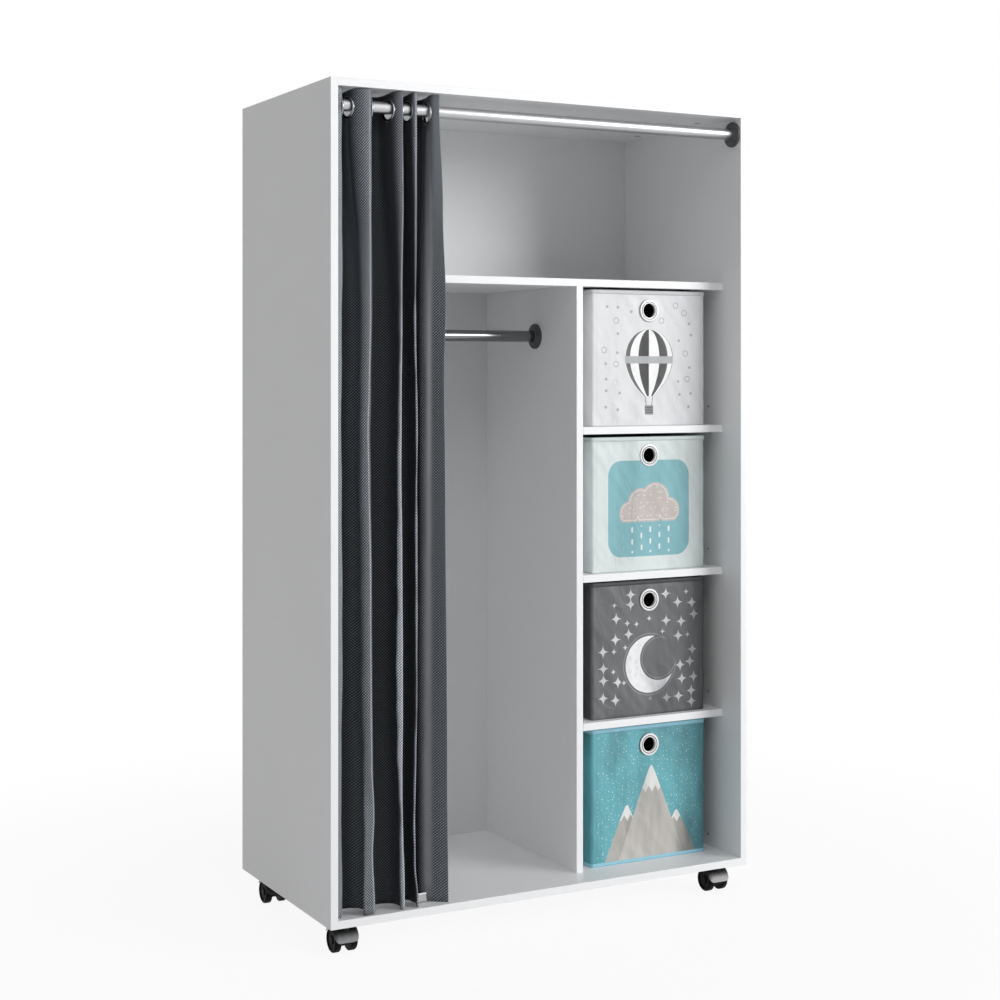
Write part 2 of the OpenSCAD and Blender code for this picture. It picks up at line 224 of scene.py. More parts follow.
def white_board(node):
    """White faces, a faint joint behind the edge band, and raw chipboard in the drillings, darkened
    with painted shade.
    """
    low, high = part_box(node)
    band, skin, joint_width = 1.0 * MM, 0.6 * MM, 0.24 * MM
    material, at = new_finish("melamine_" + node)
    x, y, z = at.axes()
    depth = (x - low.x).least(high.x - x).least(y - low.y).least(high.y - y)
    depth = depth.least(z - low.z).least(high.z - z)
    raw = 1 - depth.under(skin, 0.1 * MM)
    joint = abs(y - (low.y + band)).under(joint_width / 2, 0.08 * MM)
    cloud = at.noise(3.0, 2.0)
    grain = at.noise(1400.0, 2.0)
    white = cloud.mix((0.855, 0.86, 0.87), (0.885, 0.89, 0.90))
    white = (joint * 0.55).mix(white, (0.52, 0.52, 0.53))
    chips = at.stretched((1.0, 1.0, 2.5)).noise(420.0, 3.0).under(0.52, 0.12)
    # The chipboard in the drillings is made near black: painted shade inside the holes.
    colour = raw.mix(white, chips.mix((0.085, 0.060, 0.038), (0.045, 0.030, 0.018)))
    rough = 0.36 + grain * 0.10 + raw * 0.4
    relief = (grain * 0.25 + raw * chips).bump(0.06 * MM, 0.6)
    return finish(material, at, {"Base Color": colour, "Roughness": rough, "Normal": relief,
                                 "Specular IOR Level": 0.42})


edge_radius, drilling_size = 0.45 * MM, 12 * MM
for board in ("left_side_panel", "right_side_panel", "top_panel", "bottom_panel", "upper_shelf",
              "centre_divider", "box_shelf_1", "box_shelf_2", "box_shelf_3"):
    softened(board, [white_board(board)], edge_radius, drilling_size)


# ---------------------------------------------------------------- back panel
# One sheet of 3 mm hardboard, lacquered white towards the room and left raw behind. It
# slides into grooves that run round the carcass.

back_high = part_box("back_panel")[1]
lacquer_depth = 0.4 * MM
hardboard, at = new_finish("lacquered_hardboard")
_, y, _ = at.axes()
behind = 1 - y.under(back_high.y - lacquer_depth, 0.1 * MM)
fibres = at.stretched((1.0, 1.0, 0.35)).noise(900.0, 4.0, 0.7)
blotches = at.noise(9.0, 3.0)
lacquer = blotches.mix((0.745, 0.75, 0.76), (0.785, 0.79, 0.80))
raw = (fibres * 0.6 + blotches * 0.4).mix((0.31, 0.21, 0.125), (0.46, 0.325, 0.205))
relief = (fibres * (0.15 + behind)).bump(0.05 * MM, 0.6)
finish(hardboard, at, {"Base Color": behind.mix(lacquer, raw),
                       "Roughness": 0.42 + behind * 0.35 + fibres * 0.06, "Normal": relief})


def dress(node, material):
    """Gives a CAD node that keeps its own shape its material."""
    nodes[node].data.materials.clear()
    nodes[node].data.materials.append(material)


dress("back_panel", hardboard)


# ---------------------------------------------------------------- board fittings
# Zinc plated pins carry the box shelves. Cam locks pull on bolts in the sides, and beech
# dowels keep the boards in line. Most of them are hidden inside the boards.

def plated(name, dark, light, rough):
    """Metal with fine turning lines and a slightly uneven plating."""
    material, at = new_finish(name)
    lines = at.stretched((1.0, 1.0, 8.0)).noise(700.0, 3.0, 0.6)
    cloud = at.noise(60.0, 2.0)
    return finish(material, at, {"Base Color": cloud.mix(dark, light), "Metallic": 1.0,
                                 "Roughness": rough + lines * 0.12,
                                 "Normal": lines.bump(0.03 * MM, 0.4)})


zinc = plated("zinc_plated_steel", (0.50, 0.51, 0.53), (0.66, 0.67, 0.68), 0.26)
diecast = plated("zinc_die_casting", (0.38, 0.39, 0.40), (0.47, 0.48, 0.49), 0.42)
beech, at = new_finish("beech_dowel")
pores = at.stretched((6.0, 40.0, 40.0)).noise(60.0, 3.0)
finish(beech, at, {"Base Color": pores.mix((0.52, 0.35, 0.20), (0.70, 0.52, 0.33)),
                   "Roughness": 0.62 + pores * 0.1, "Normal": pores.bump(0.05 * MM, 0.5)})

dress("shelf_pins", zinc)
dress("cam_bolts", zinc)
dress("cam_locks", diecast)
dress("wood_dowels", beech)


# ---------------------------------------------------------------- rods
# The curtain rod and the clothes rod are thin steel tubes, 25 mm across, drawn and satin
# chrome plated. Each stands between two walls in its flanges.

def arc(centre, radius, start, end, steps):
    """Points of an arc as (radius from the turning axis, distance along it)."""
    angles = [math.radians(start + (end - start) * i / steps) for i in range(steps + 1)]
    return [(centre[0] + radius * math.cos(a), centre[1] + radius * math.sin(a)) for a in angles]


def turned(profile, centre, axis, segments=96):
    """A closed profile of (radius, distance along the axis), turned about the axis."""
    soft_angle = math.radians(40)
    along = Vector(axis).normalized()
    across = along.orthogonal().normalized()
    third = along.cross(across)
    shape = bmesh.new()
    rings = []
    for i in range(segments):
        angle = 2 * math.pi * i / segments
        out = across * math.cos(angle) + third * math.sin(angle)
        rings.append([shape.verts.new(Vector(centre) + out * r + along * d) for r, d in profile])
    for i, ring in enumerate(rings):
        following = rings[(i + 1) % segments]
        for k in range(len(profile)):
            n = (k + 1) % len(profile)
            shape.faces.new((ring[k], following[k], following[n], ring[n]))
    bmesh.ops.remove_doubles(shape, verts=shape.verts, dist=1e-7)
    bmesh.ops.delete(shape, geom=[e for e in shape.edges if not e.link_faces], context="EDGES")
    bmesh.ops.recalc_face_normals(shape, faces=shape.faces)
    for face in shape.faces:
        face.smooth = True
    for edge in shape.edges:
        edge.smooth = edge.calc_face_angle(0) < soft_angle
    return shape


def joined(shapes, name):
    """Several shapes as one mesh."""
    mesh = bpy.data.meshes.new(name)
    whole = bmesh.new()
    for shape in shapes:
        part = bpy.data.meshes.new("part")
        shape.to_mesh(part)
        shape.free()
        whole.from_mesh(part)
        bpy.data.meshes.remove(part)
    whole.to_mesh(mesh)
    whole.free()
    return mesh


def drawn_metal(name, dark, light, rough):
    """Plated steel with faint drawing lines along X and a light haze."""
    material, at = new_finish(name)
    drawn = at.stretched((0.004, 1.0, 1.0)).noise(900.0, 3.0, 0.6)
    haze = at.noise(9.0, 2.0)
    return finish(material, at, {"Base Color": haze.mix(dark, light), "Metallic": 1.0,
                                 "Roughness": rough + drawn * 0.06 + haze * 0.03,
                                 "Normal": drawn.bump(0.004 * MM, 0.2)})


def tube(node, plating):
    """A drawn tube with slightly rolled ends."""
    wall, roll = 1.2 * MM, 0.4 * MM
    low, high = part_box(node)
    outer = (high.z - low.z) / 2
    inner = outer - wall
    length = high.x - low.x
    profile = (arc((outer - roll, roll), roll, -90, 0, 3)
               + arc((outer - roll, length - roll), roll, 0, 90, 3)
               + [(inner, length), (inner, 0)])
    start = (low.x, (low.y + high.y) / 2, (low.z + high.z) / 2)
    mesh = joined([turned(profile, start, (1, 0, 0))], node + "_tube")
    return new_piece(node + "_tube", mesh, "root", [node], [plating])


satin_chrome = drawn_metal("satin_chrome_tube", (0.50, 0.505, 0.515), (0.55, 0.555, 0.565), 0.30)
# The clothes rod's finish is a darker copy of the same satin chrome: painted shade for the rod
# inside the carcass.
chrome_painted_darker = drawn_metal("chrome_tube_painted_darker", (0.21, 0.213, 0.22), (0.25, 0.253, 0.26), 0.15)
tube("curtain_rod", satin_chrome)
tube("clothes_rod", chrome_painted_darker)


# ---------------------------------------------------------------- rod flanges
# Each end of a rod sits in a round flange of dark grey moulded plastic with a collar. Three
# pan head screws hold the flange to its wall.

def moulded(name, dark, light, rough, texture=0.04 * MM):
    """Plastic with a fine eroded texture, a little duller in patches."""
    material, at = new_finish(name)
    grain = at.noise(2200.0, 2.0)
    patch = at.noise(30.0, 3.0)
    return finish(material, at, {"Base Color": patch.mix(dark, light),
                                 "Roughness": rough + grain * 0.08 + patch * 0.08,
                                 "Normal": grain.bump(texture, 0.5)})


flange_plastic = moulded("flange_plastic", (0.066, 0.069, 0.074), (0.092, 0.096, 0.102), 0.30)
disc_thickness, collar_height, collar_radius = 5 * MM, 9 * MM, 15 * MM
slip = 0.05 * MM


def flange_pair(node):
    """Two stepped discs with collars, facing each other across the gap that the rod spans."""
    low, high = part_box(node)
    centre_y, centre_z = (low.y + high.y) / 2, (low.z + high.z) / 2
    outer = (high.z - low.z) / 2
    rod_bottom, rod_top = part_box(node.replace("_flanges", ""))
    bore = (rod_top.z - rod_bottom.z) / 2 + slip
    soft, lip = 1.4 * MM, 0.8 * MM
    profile = ([(bore, 0), (outer, 0), (outer, disc_thickness - soft)]
               + arc((outer - soft, disc_thickness - soft), soft, 0, 90, 5)
               + arc((collar_radius + soft, disc_thickness + soft), soft, 270, 180, 4)
               + arc((collar_radius - lip, collar_height - lip), lip, 0, 90, 4)
               + [(bore, collar_height)])
    ends = [turned(profile, (x, centre_y, centre_z), (facing, 0, 0))
            for x, facing in ((low.x, 1), (high.x, -1))]
    return new_piece(node + "_turned", joined(ends, node), "root", [node],
                     [flange_plastic])


flange_pair("curtain_rod_flanges")
flange_pair("clothes_rod_flanges")


def new_tree(name, sizes):
    """Starts a Geometry Nodes tree that takes a mesh, these named sizes and a material."""
    tree = bpy.data.node_groups.new(name, "GeometryNodeTree")
    sockets = tree.interface
    sockets.new_socket("Geometry", in_out="OUTPUT", socket_type="NodeSocketGeometry")
    sockets.new_socket("Geometry", in_out="INPUT", socket_type="NodeSocketGeometry")
    for size in sizes:
        sockets.new_socket(size, in_out="INPUT", socket_type="NodeSocketFloat")
    sockets.new_socket("Material", in_out="INPUT", socket_type="NodeSocketMaterial")
    return Value(tree).node("NodeGroupInput", output="Geometry")


def end_tree(made, start):
    """Ends a tree with real faces that have their material."""
    real = made.node("GeometryNodeRealizeInstances", None, {0: made})
    real = real.node("GeometryNodeSetMaterial", None,
                     {"Geometry": real, "Material": start.output("Material")})
    real.node("NodeGroupOutput", None, {0: real})
    return made.tree


def grown(name, tree, source, values):
    """What a Geometry Nodes tree makes of a mesh, as a plain mesh. Values are given by name."""
    host = bpy.data.objects.new(name, source)
    bpy.context.collection.objects.link(host)
    modifier = host.modifiers.new(name, "NODES")
    modifier.node_group = tree
    for item in tree.interface.items_tree:
        if item.in_out == "INPUT" and item.name in values:
            modifier[item.identifier] = values[item.name]
    depsgraph = bpy.context.evaluated_depsgraph_get()
    mesh = bpy.data.meshes.new_from_object(host.evaluated_get(depsgraph), depsgraph=depsgraph)
    bpy.data.objects.remove(host)
    mesh.name = name
    return mesh


def places(points, facings):
    """A mesh of single points, each with the direction that its copy faces."""
    mesh = bpy.data.meshes.new("places")
    mesh.from_pydata([tuple(p) for p in points], [], [])
    facing = mesh.attributes.new("facing", "FLOAT_VECTOR", "POINT")
    for item, direction in zip(facing.data, facings):
        item.vector = direction
    return mesh


def end_on_points(made, start):
    """Ends a tree with a copy of what is made on every point, its Z where the point faces."""
    facing = start.node("GeometryNodeInputNamedAttribute", {"data_type": "FLOAT_VECTOR"},
                        {"Name": "facing"})
    turned_to = start.node("FunctionNodeAlignRotationToVector", {"axis": "Z"}, {"Vector": facing})
    copies = start.node("GeometryNodeInstanceOnPoints", None, {
        "Points": start, "Instance": made, "Rotation": turned_to})
    return end_tree(copies, start)


def screw_tree():
    """A pan head on every point: a flattened ball with a cross recess cut into its top."""
    recess, recess_lift = (1.0, 0.16, 0.9), (0, 0, 0.95)
    start = new_tree("pan head screws", ["Head radius", "Head height"])
    radius, height = start.output("Head radius"), start.output("Head height")
    ball = start.node("GeometryNodeMeshUVSphere", None,
                      {"Segments": 24, "Rings": 12, "Radius": 1.0})
    size = start.node("ShaderNodeCombineXYZ", None, {"X": radius, "Y": radius, "Z": height})
    head = ball.node("GeometryNodeTransform", None, {"Geometry": ball, "Scale": size})
    cut = head.node("GeometryNodeMeshBoolean", {"operation": "DIFFERENCE"}, {"Mesh 1": head})
    for turn in (0, math.pi / 2):
        slot = start.node("GeometryNodeMeshCube", None, {"Size": recess})
        slot = slot.node("GeometryNodeTransform", None, {
            "Geometry": slot, "Translation": recess_lift, "Rotation": (0, 0, turn)})
        slot = slot.node("GeometryNodeTransform", None, {"Geometry": slot, "Scale": size})
        cut.tree.links.new(slot.socket, cut.socket.node.inputs["Mesh 2"])
    return end_on_points(cut, start)


screw_heads = screw_tree()


def screw_group(name, node, points, facings, radius, height):
    """The heads of a CAD node's screws, one on every point."""
    mesh = grown(name, screw_heads, places(points, facings),
                 {"Head radius": radius, "Head height": height, "Material": zinc})
    return new_piece(name, mesh, "root", [node])


screw_circle = 21 * MM
flange_screw_points, flange_screw_facings = [], []
for node in ("curtain_rod_flanges", "clothes_rod_flanges"):
    low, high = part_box(node)
    middle_y, middle_z = (low.y + high.y) / 2, (low.z + high.z) / 2
    for x, facing in ((low.x + disc_thickness, 1), (high.x - disc_thickness, -1)):
        for angle in (math.radians(degrees) for degrees in (90, 210, 330)):
            flange_screw_points.append((x, middle_y + screw_circle * math.cos(angle),
                                        middle_z + screw_circle * math.sin(angle)))
            flange_screw_facings.append((facing, 0, 0))
screw_group("flange_screw_heads", "flange_screws", flange_screw_points, flange_screw_facings,
            radius=3.4 * MM, height=1.9 * MM)


# ---------------------------------------------------------------- castors
# Four twin wheel castors, each on a lacquered plate with four screws. A moulded hood turns
# on the stem and covers the two wheels, which run on one axle through it.

black_lacquer = moulded("black_lacquer", (0.020, 0.020, 0.022), (0.032, 0.032, 0.034), 0.34)
hood_plastic, at = new_finish("castor_hood_plastic")
grain = at.noise(2200.0, 2.0)
patch = at.noise(160.0, 3.0)
# The lip attribute carries a painted highlight: the lower front of each hood is lightened towards
# grey.
lip = at.node("ShaderNodeAttribute", {"attribute_name": "lip"}, None, "Fac")
painted_lip_highlight = (lip * (0.75 + patch * 0.5)).least(1.0)
finish(hood_plastic, at, {"Base Color": painted_lip_highlight.mix((0.008, 0.0085, 0.009), (0.50, 0.505, 0.515)),
                          "Roughness": 0.34 + grain * 0.1 - lip * 0.1,
                          "Normal": grain.bump(0.03 * MM, 0.5), "Specular IOR Level": 0.16})
softened("castor_plates", [black_lacquer], 0.4 * MM, 1.5 * MM)
dress("castor_stems", zinc)

plate_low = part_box("castor_plates")[0]
stem_places = {f"{end}_{side}": (x, y) for end, y in (("front", -0.204), ("rear", 0.176))
               for side, x in (("left", -0.45), ("right", 0.45))}
screw_reach = 15.5 * MM
castor_screw_points = [(x + side_x * screw_reach, y + side_y * screw_reach, plate_low.z)
                       for x, y in stem_places.values()
                       for side_x in (-1, 1) for side_y in (-1, 1)]
screw_group("castor_plate_screw_heads", "castor_plate_screws", castor_screw_points,
            [(0, 0, -1)] * len(castor_screw_points), radius=3.7 * MM, height=2.2 * MM)

wheel_plastic, at = new_finish("castor_wheel_plastic")
grain = at.noise(1500.0, 3.0)
dust = at.noise(45.0, 3.0)
_, _, z = at.axes()
tread_wear = z.under(2.0 * MM, 2.0 * MM)
finish(wheel_plastic, at, {
    "Base Color": (dust * 0.2 + tread_wear * 0.4).mix((0.003, 0.003, 0.0033),
                                                      (0.024, 0.0235, 0.023)),
    "Roughness": 0.42 + grain * 0.12 + tread_wear * 0.15,
    "Normal": grain.bump(0.05 * MM, 0.6), "Specular IOR Level": 0.06})


def smooth(t):
    """Eased from 0 to 1 as t goes from 0 to 1, and level outside."""
    t = min(max(t, 0.0), 1.0)
    return t * t * (3 - 2 * t)


def castor_wheel(node, outward):
    """A turned wheel with a rounded tread, a dished face and a closed hub.

    The bore starts on the inner face and stops short of the hub; outward is -1 or 1 on X."""
    low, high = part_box(node)
    radius = (high.z - low.z) / 2
    width = high.x - low.x
    centre = (low.x if outward > 0 else high.x, (low.y + high.y) / 2, (low.z + high.z) / 2)
    bore, hub, rim = 3.1 * MM, 8.5 * MM, radius - 5 * MM
    inner_round, outer_round, rim_round, hub_round = 1.5 * MM, 4 * MM, 0.6 * MM, 1.2 * MM
    bore_end = width - 1.2 * MM
    profile = ([(bore, 0)]
               + arc((radius - inner_round, inner_round), inner_round, -90, 0, 4)
               + arc((radius - outer_round, width - outer_round), outer_round, 0, 90, 8)
               + arc((rim, width - rim_round), rim_round, 90, 180, 3)
               + [(rim - 1.2 * MM, width - 2.2 * MM), (hub + 2.0 * MM, width - 2.6 * MM),
                  (hub + 0.5 * MM, width - 2.2 * MM)]
               + arc((hub - hub_round, width - hub_round), hub_round, 0, 90, 4)
               + [(4.5 * MM, width - 0.25 * MM), (0, width - 0.2 * MM), (0, bore_end),
                  (bore, bore_end)])
    mesh = joined([turned(profile, centre, (outward, 0, 0))], node + "_turned")
    return new_piece(node + "_turned", mesh, body_of(node), [node],
                     [wheel_plastic])


def piece_from_grid(name, grid, around=False, skip=None):
    """A mesh from rows of points, each row closed if around is set, without the faces to skip."""
    shape = bmesh.new()
    rows = [[shape.verts.new(p) for p in row] for row in grid]
    width = len(rows[0])
    for i in range(len(rows) - 1):
        for k in range(width if around else width - 1):
            n = (k + 1) % width
            if skip and skip(i, k):
                continue
            shape.faces.new((rows[i][k], rows[i][n], rows[i + 1][n], rows[i + 1][k])).smooth = True
    loose = [v for v in shape.verts if not v.link_faces]
    bmesh.ops.delete(shape, geom=loose, context="VERTS")
    mesh = bpy.data.meshes.new(name)
    shape.to_mesh(mesh)
    shape.free()
    return mesh


def walled(piece, thickness, offset=0, inside=0, rim=0):
    """Gives a piece of one surface its thickness, and the materials of its inside and rim."""
    wall = piece.modifiers.new("wall", "SOLIDIFY")
    wall.thickness = thickness
    wall.offset = offset
    wall.material_offset = inside
    wall.material_offset_rim = rim


def soft_edged(piece, width):
    """Rounds the sharp edges of a piece."""
    edges = piece.modifiers.new("edges", "BEVEL")
    edges.width = width
    edges.segments = 2
    edges.limit_method = "ANGLE"


def quarter(beyond, radius):
    """How far a quarter round of this radius has fallen, at this distance past its start."""
    beyond = max(beyond, 0)
    return radius - math.sqrt(max(radius * radius - beyond * beyond, 0))


def castor_hood(castor, stem):
    """A shell with rounded flanks over the front and top of both wheels, and its inner boss."""
    body = f"castor_{castor}"
    node = body + "_hood"
    low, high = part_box(node)
    axle_low, axle_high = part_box(body + "_axle")
    centre = (axle_low + axle_high) / 2
    half_width = (high.x - low.x) / 2
    radius, flank_round, lip_round, lip_height = 28 * MM, 7 * MM, 10 * MM, -1 * MM
    wall, edge_round = 1.7 * MM, 0.5 * MM
    back_angle, columns, rows = 33.7, 28, 32
    grid = []
    for i in range(columns + 1):
        across = -half_width + 2 * half_width * i / columns
        reach = radius - quarter(abs(across) - (half_width - flank_round), flank_round) * 0.55
        lip = lip_height + quarter(abs(across) - (half_width - lip_round), lip_round)
        start = 180 - math.degrees(math.asin(min(lip / reach, 1)))
        row = []
        for k in range(rows + 1):
            angle = math.radians(start + (back_angle - start) * k / rows)
            row.append(Vector((centre.x + across, centre.y + reach * math.cos(angle),
                               centre.z + reach * math.sin(angle))))
        grid.append(row)
    mesh = piece_from_grid(node + "_shell", grid)
    # How strong the painted highlight on the hood's lower front is: most on the front right castor,
    # faint on the rear ones.
    painted_highlight = {"front_left": 0.55, "front_right": 0.95}.get(castor, 0.08)
    lips = mesh.attributes.new("lip", "FLOAT", "POINT")
    for vertex in mesh.vertices:
        rise = math.degrees(math.atan2(vertex.co.z - centre.z, centre.y - vertex.co.y))
        lips.data[vertex.index].value = painted_highlight * smooth(1 - rise / 62) ** 2.2
    piece = new_piece(node + "_shell", mesh, body, [node], [hood_plastic])
    walled(piece, wall, -1)
    soft_edged(piece, edge_round)
    web_half, web_radius = 9 * MM, radius - wall
    outline = [(web_radius * math.cos(a), web_radius * math.sin(a))
               for a in map(math.radians, range(34, 198, 4))]
    outline += [(y * MM, z * MM) for y, z in ((-13, -8), (-9, -12), (0, -13), (9, -10), (12.5, 0))]
    shape = bmesh.new()
    for side in (-1, 1):
        shape.faces.new([shape.verts.new(centre + Vector((side * web_half, y, z)))
                         for y, z in outline])
    shape.verts.ensure_lookup_table()
    count = len(outline)
    for k in range(count):
        n = (k + 1) % count
        shape.faces.new([shape.verts[j] for j in (k, n, n + count, k + count)])
    bmesh.ops.recalc_face_normals(shape, faces=shape.faces)
    bore, boss_radius, boss_height, boss_chamfer = 4.1 * MM, 8.5 * MM, 21.5 * MM, 1.0 * MM
    boss_foot = plate_low.z - 6 * MM - boss_height
    boss = turned([(bore, 0), (boss_radius, 0), (boss_radius, boss_height - boss_chamfer),
                   (boss_radius - 0.9 * MM, boss_height), (bore, boss_height)],
                  (*stem, boss_foot), (0, 0, 1), 48)
    web = new_piece(node + "_boss", joined([shape, boss], node + "_boss"), body,
                    (), [hood_plastic])
    soft_edged(web, edge_round)


for castor, stem in stem_places.items():
    castor_hood(castor, stem)
    dress(f"castor_{castor}_axle", zinc)
    castor_wheel(f"castor_{castor}_wheel_left", -1)
    castor_wheel(f"castor_{castor}_wheel_right", 1)


# ---------------------------------------------------------------- curtain
# One panel of charcoal cloth in a coarse basket weave, hemmed all round, hung on the rod by
# eight metal eyelets. It is pushed to the left, so that it stands in seven deep folds.

corner = Vector((cad_low.x, cad_low.y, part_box("left_side_panel")[0].z))
rod_low, rod_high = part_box("curtain_rod")
rod_y, rod_z = (rod_low.y + rod_high.y) / 2, (rod_low.z + rod_high.z) / 2
eyelet_low, eyelet_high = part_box("curtain_eyelets_1")
eyelet_z = (eyelet_low.z + eyelet_high.z) / 2
cloth_low, cloth_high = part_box("curtain_cloth_3")
# Millimetres from the carcass's front left corner: where the cloth crosses the rod, the line
# of the rod, and how far forward and back the folds stand
crossings = [34, 49, 98, 138, 165, 179.5, 194, 225]
rod_line, front_y, back_y = 30, 5, 62
lean, last_lean = 0.2, -0.12
hem_depth = 22 * MM
fold_steps, edge_steps = 24, 8

# Where each front fold turns, as (height in metres, left crease, right crease, roundness of
# the left one)
front_folds = {
    1: [(1.66, 64, 91, 10), (1.50, 60, 88, 22), (1.30, 58, 89.5, 30), (1.12, 56, 85.5, 30),
        (1.04, 54, 83, 30), (0.95, 55, 85, 30), (0.70, 58, 88, 28), (0.50, 62, 89, 20),
        (0.38, 68, 91, 11), (0.28, 72, 95.5, 5), (0.20, 72, 92, 4), (0.09, 73, 97, 3)],
    3: [(1.66, 146, 164.5, 10), (1.51, 147, 161.5, 9), (1.30, 150, 158, 5), (1.20, 152.5, 157, 3),
        (1.10, 149, 156, 3), (0.90, 146, 155, 3), (0.75, 146, 156, 3), (0.60, 144, 157, 3),
        (0.50, 144, 157, 3), (0.40, 146, 157, 3), (0.32, 150, 157.5, 3), (0.26, 153, 158.5, 3),
        (0.09, 155, 163, 3)],
    5: [(1.66, 184, 189, 4), (1.30, 184, 187, 3), (1.02, 188, 191, 3), (0.90, 186, 189, 3),
        (0.50, 187, 189.7, 3), (0.27, 182, 185, 3), (0.17, 184, 186.5, 3), (0.09, 190, 193.5, 3)],
}
# Where the free edge hangs, as (height in metres, place)
free_edge = [(1.70, 241), (1.49, 250), (1.30, 257), (1.15, 253), (0.90, 255), (0.34, 259),
             (0.09, 262)]


def between(table, height):
    """The entries of a table at a height, eased from each of its heights to the next."""
    if height >= table[0][0]:
        return table[0][1:]
    for upper, lower in zip(table, table[1:]):
        if height >= lower[0]:
            t = smooth((upper[0] - height) / (upper[0] - lower[0]))
            return tuple(a + (b - a) * t for a, b in zip(upper[1:], lower[1:]))
    return table[-1][1:]


def wander(number, height, size, rate):
    """A slow drift of a fold in millimetres: none at the eyelets, full a forearm below them."""
    return smooth((rod_z - height) / 0.28) * size * math.sin(rate * height + number * 2.4)


def arc_lengths(points):
    """The distance along a line at each of its points."""
    total, lengths = 0.0, [0.0]
    for a, b in zip(points, points[1:]):
        total += (b - a).length
        lengths.append(total)
    return lengths


def spaced(points, count):
    """Points at even distances along a line, the first and last kept."""
    lengths = arc_lengths(points)
    made, k = [], 0
    for i in range(count + 1):
        target = lengths[-1] * i / count
        while k < len(points) - 2 and lengths[k + 1] < target:
            k += 1
        part = (target - lengths[k]) / max(lengths[k + 1] - lengths[k], 1e-9)
        made.append(points[k].lerp(points[k + 1], min(max(part, 0), 1)))
    return made


def half_fold(cross, tip, lean=lean):
    """Plan points from the rod to a fold's tip, straight at the rod and round at the tip."""
    d = tip - cross
    a = cross + Vector((lean * abs(d.y) * math.copysign(1, d.x), d.y)) * 0.6
    b = tip - Vector((0.8 * d.x, 0))
    points = []
    for i in range(17):
        t = i / 16
        s = 1 - t
        points.append(s ** 3 * cross + 3 * s * s * t * a + 3 * s * t * t * b + t ** 3 * tip)
    return points


def creased(points, *radii, most=0.48):
    """A line through the points, each corner rounded by its radius, or most of a short side."""
    made = [points[0]]
    for before, at_corner, after, radius in zip(points, points[1:], points[2:], radii):
        into, out = at_corner - before, after - at_corner
        a = at_corner - into.normalized() * min(radius, into.length * most)
        b = at_corner + out.normalized() * min(radius, out.length * most)
        made += [a.lerp(at_corner, t).lerp(at_corner.lerp(b, t), t)
                 for t in (0, 0.2, 0.4, 0.6, 0.8, 1)]
    return made + [points[-1]]


def plan_line(height):
    """The whole cloth in plan at a height, in millimetres from the carcass's front left corner.

    With it come the places of the right creases of the three front folds."""
    pressed = smooth((rod_z - 0.03 - height) / 0.42)
    backs = [Vector(((crossings[i] + crossings[i + 1]) / 2 + wander(i + 3, height, 2.5, 5.2),
                     back_y + wander(i + 5, height, 2.5, 3.7))) for i in (0, 2, 4, 6)]
    fronts = {i: between(front_folds[i], height) for i in (1, 3, 5)}
    front = front_y + wander(6, height, 1.5, 4.4)
    share = (back_y - rod_line) / (back_y - front_y)
    places, marks = [], []
    for i, x in enumerate(crossings):
        back = backs[(i + 1) // 2 if i < 7 else 3]
        if 0 < i < 7:
            crease = fronts[i][0] if i % 2 else fronts[i - 1][1]
            x += (back.x + (crease - back.x) * share - x) * pressed
        places.append(Vector((x, rod_line + wander(i + 9, height, 1.5, 3.1) * pressed)))
    # The strip along the wall
    strip = Vector((28.4 + wander(11, height, 1.3, 9.5) + wander(4, height, 0.6, 31), 11.5))
    line = spaced(creased([Vector((19.5, 11)), strip, places[0]], 4), edge_steps)[:-1]
    for i in range(7):
        # A fold to the back, round at its tip, and the last one with a flat back below the rod
        if i % 2 == 0:
            tip = backs[i // 2]
            last = i == 6
            leaning = last_lean if last else lean
            fold = spaced(half_fold(places[i], tip)[:-1]
                          + half_fold(places[i + 1], tip, leaning)[::-1], fold_steps)
            if last:
                bowed = creased([places[6], tip + Vector((-3.5, 0.5)), tip + Vector((3.5, 0.5)),
                                 Vector((213, 40)), places[7]], 4, 4, 6)
                fold = [a.lerp(b, pressed) for a, b in zip(fold, spaced(bowed, fold_steps))]
            line += fold[:-1]
            continue
        # A fold to the front, round at the rod and pressed into two creases below it
        left, right, roundness = fronts[i]
        left += wander(i + 2, height, 0.8, 31) + wander(i, height, 0.5, 73)
        tip = Vector(((places[i].x + places[i + 1].x) / 2, front))
        marks.append(Vector((right, front - 1)))
        soft = half_fold(places[i], tip)[:-1] + half_fold(places[i + 1], tip)[::-1]
        crisp = smooth((rod_z - 0.03 - height) / (0.24 if i == 1 else 0.42))
        sharp = creased([places[i], Vector((left, front)), marks[-1], places[i + 1]],
                        roundness + 8 * (1 - crisp), 3 + 8 * (1 - crisp),
                        most=0.48 + (0.36 * crisp if i == 1 else 0))
        line += [a.lerp(b, crisp) for a, b in
                 zip(spaced(soft, fold_steps), spaced(sharp, fold_steps))][:-1]
    # The free edge, from the last crossing
    end = Vector((between(free_edge, height)[0], 8 + wander(1, height, 1.5, 4.0)))
    face = Vector((222.5, 11)).lerp(Vector((233, 25.5)), pressed)
    return line + spaced(creased([places[7], face, end], 9), edge_steps * 2), marks


cross_column = [edge_steps + fold_steps * i for i in range(8)]
at_rod, _ = plan_line(rod_z)
across_cloth = arc_lengths(at_rod)
cloth_top, cloth_bottom = cloth_high.z + 2.5 * MM, cloth_low.z - 2.2 * MM
cloth_length = cloth_top - cloth_bottom
header_step, lower_rows = 0.0028, 138
top_rows = [cloth_top - header_step * i for i in range(32)]
row_heights = top_rows + [top_rows[-1] + (cloth_bottom - top_rows[-1]) * (i + 1) / lower_rows
                          for i in range(lower_rows)]


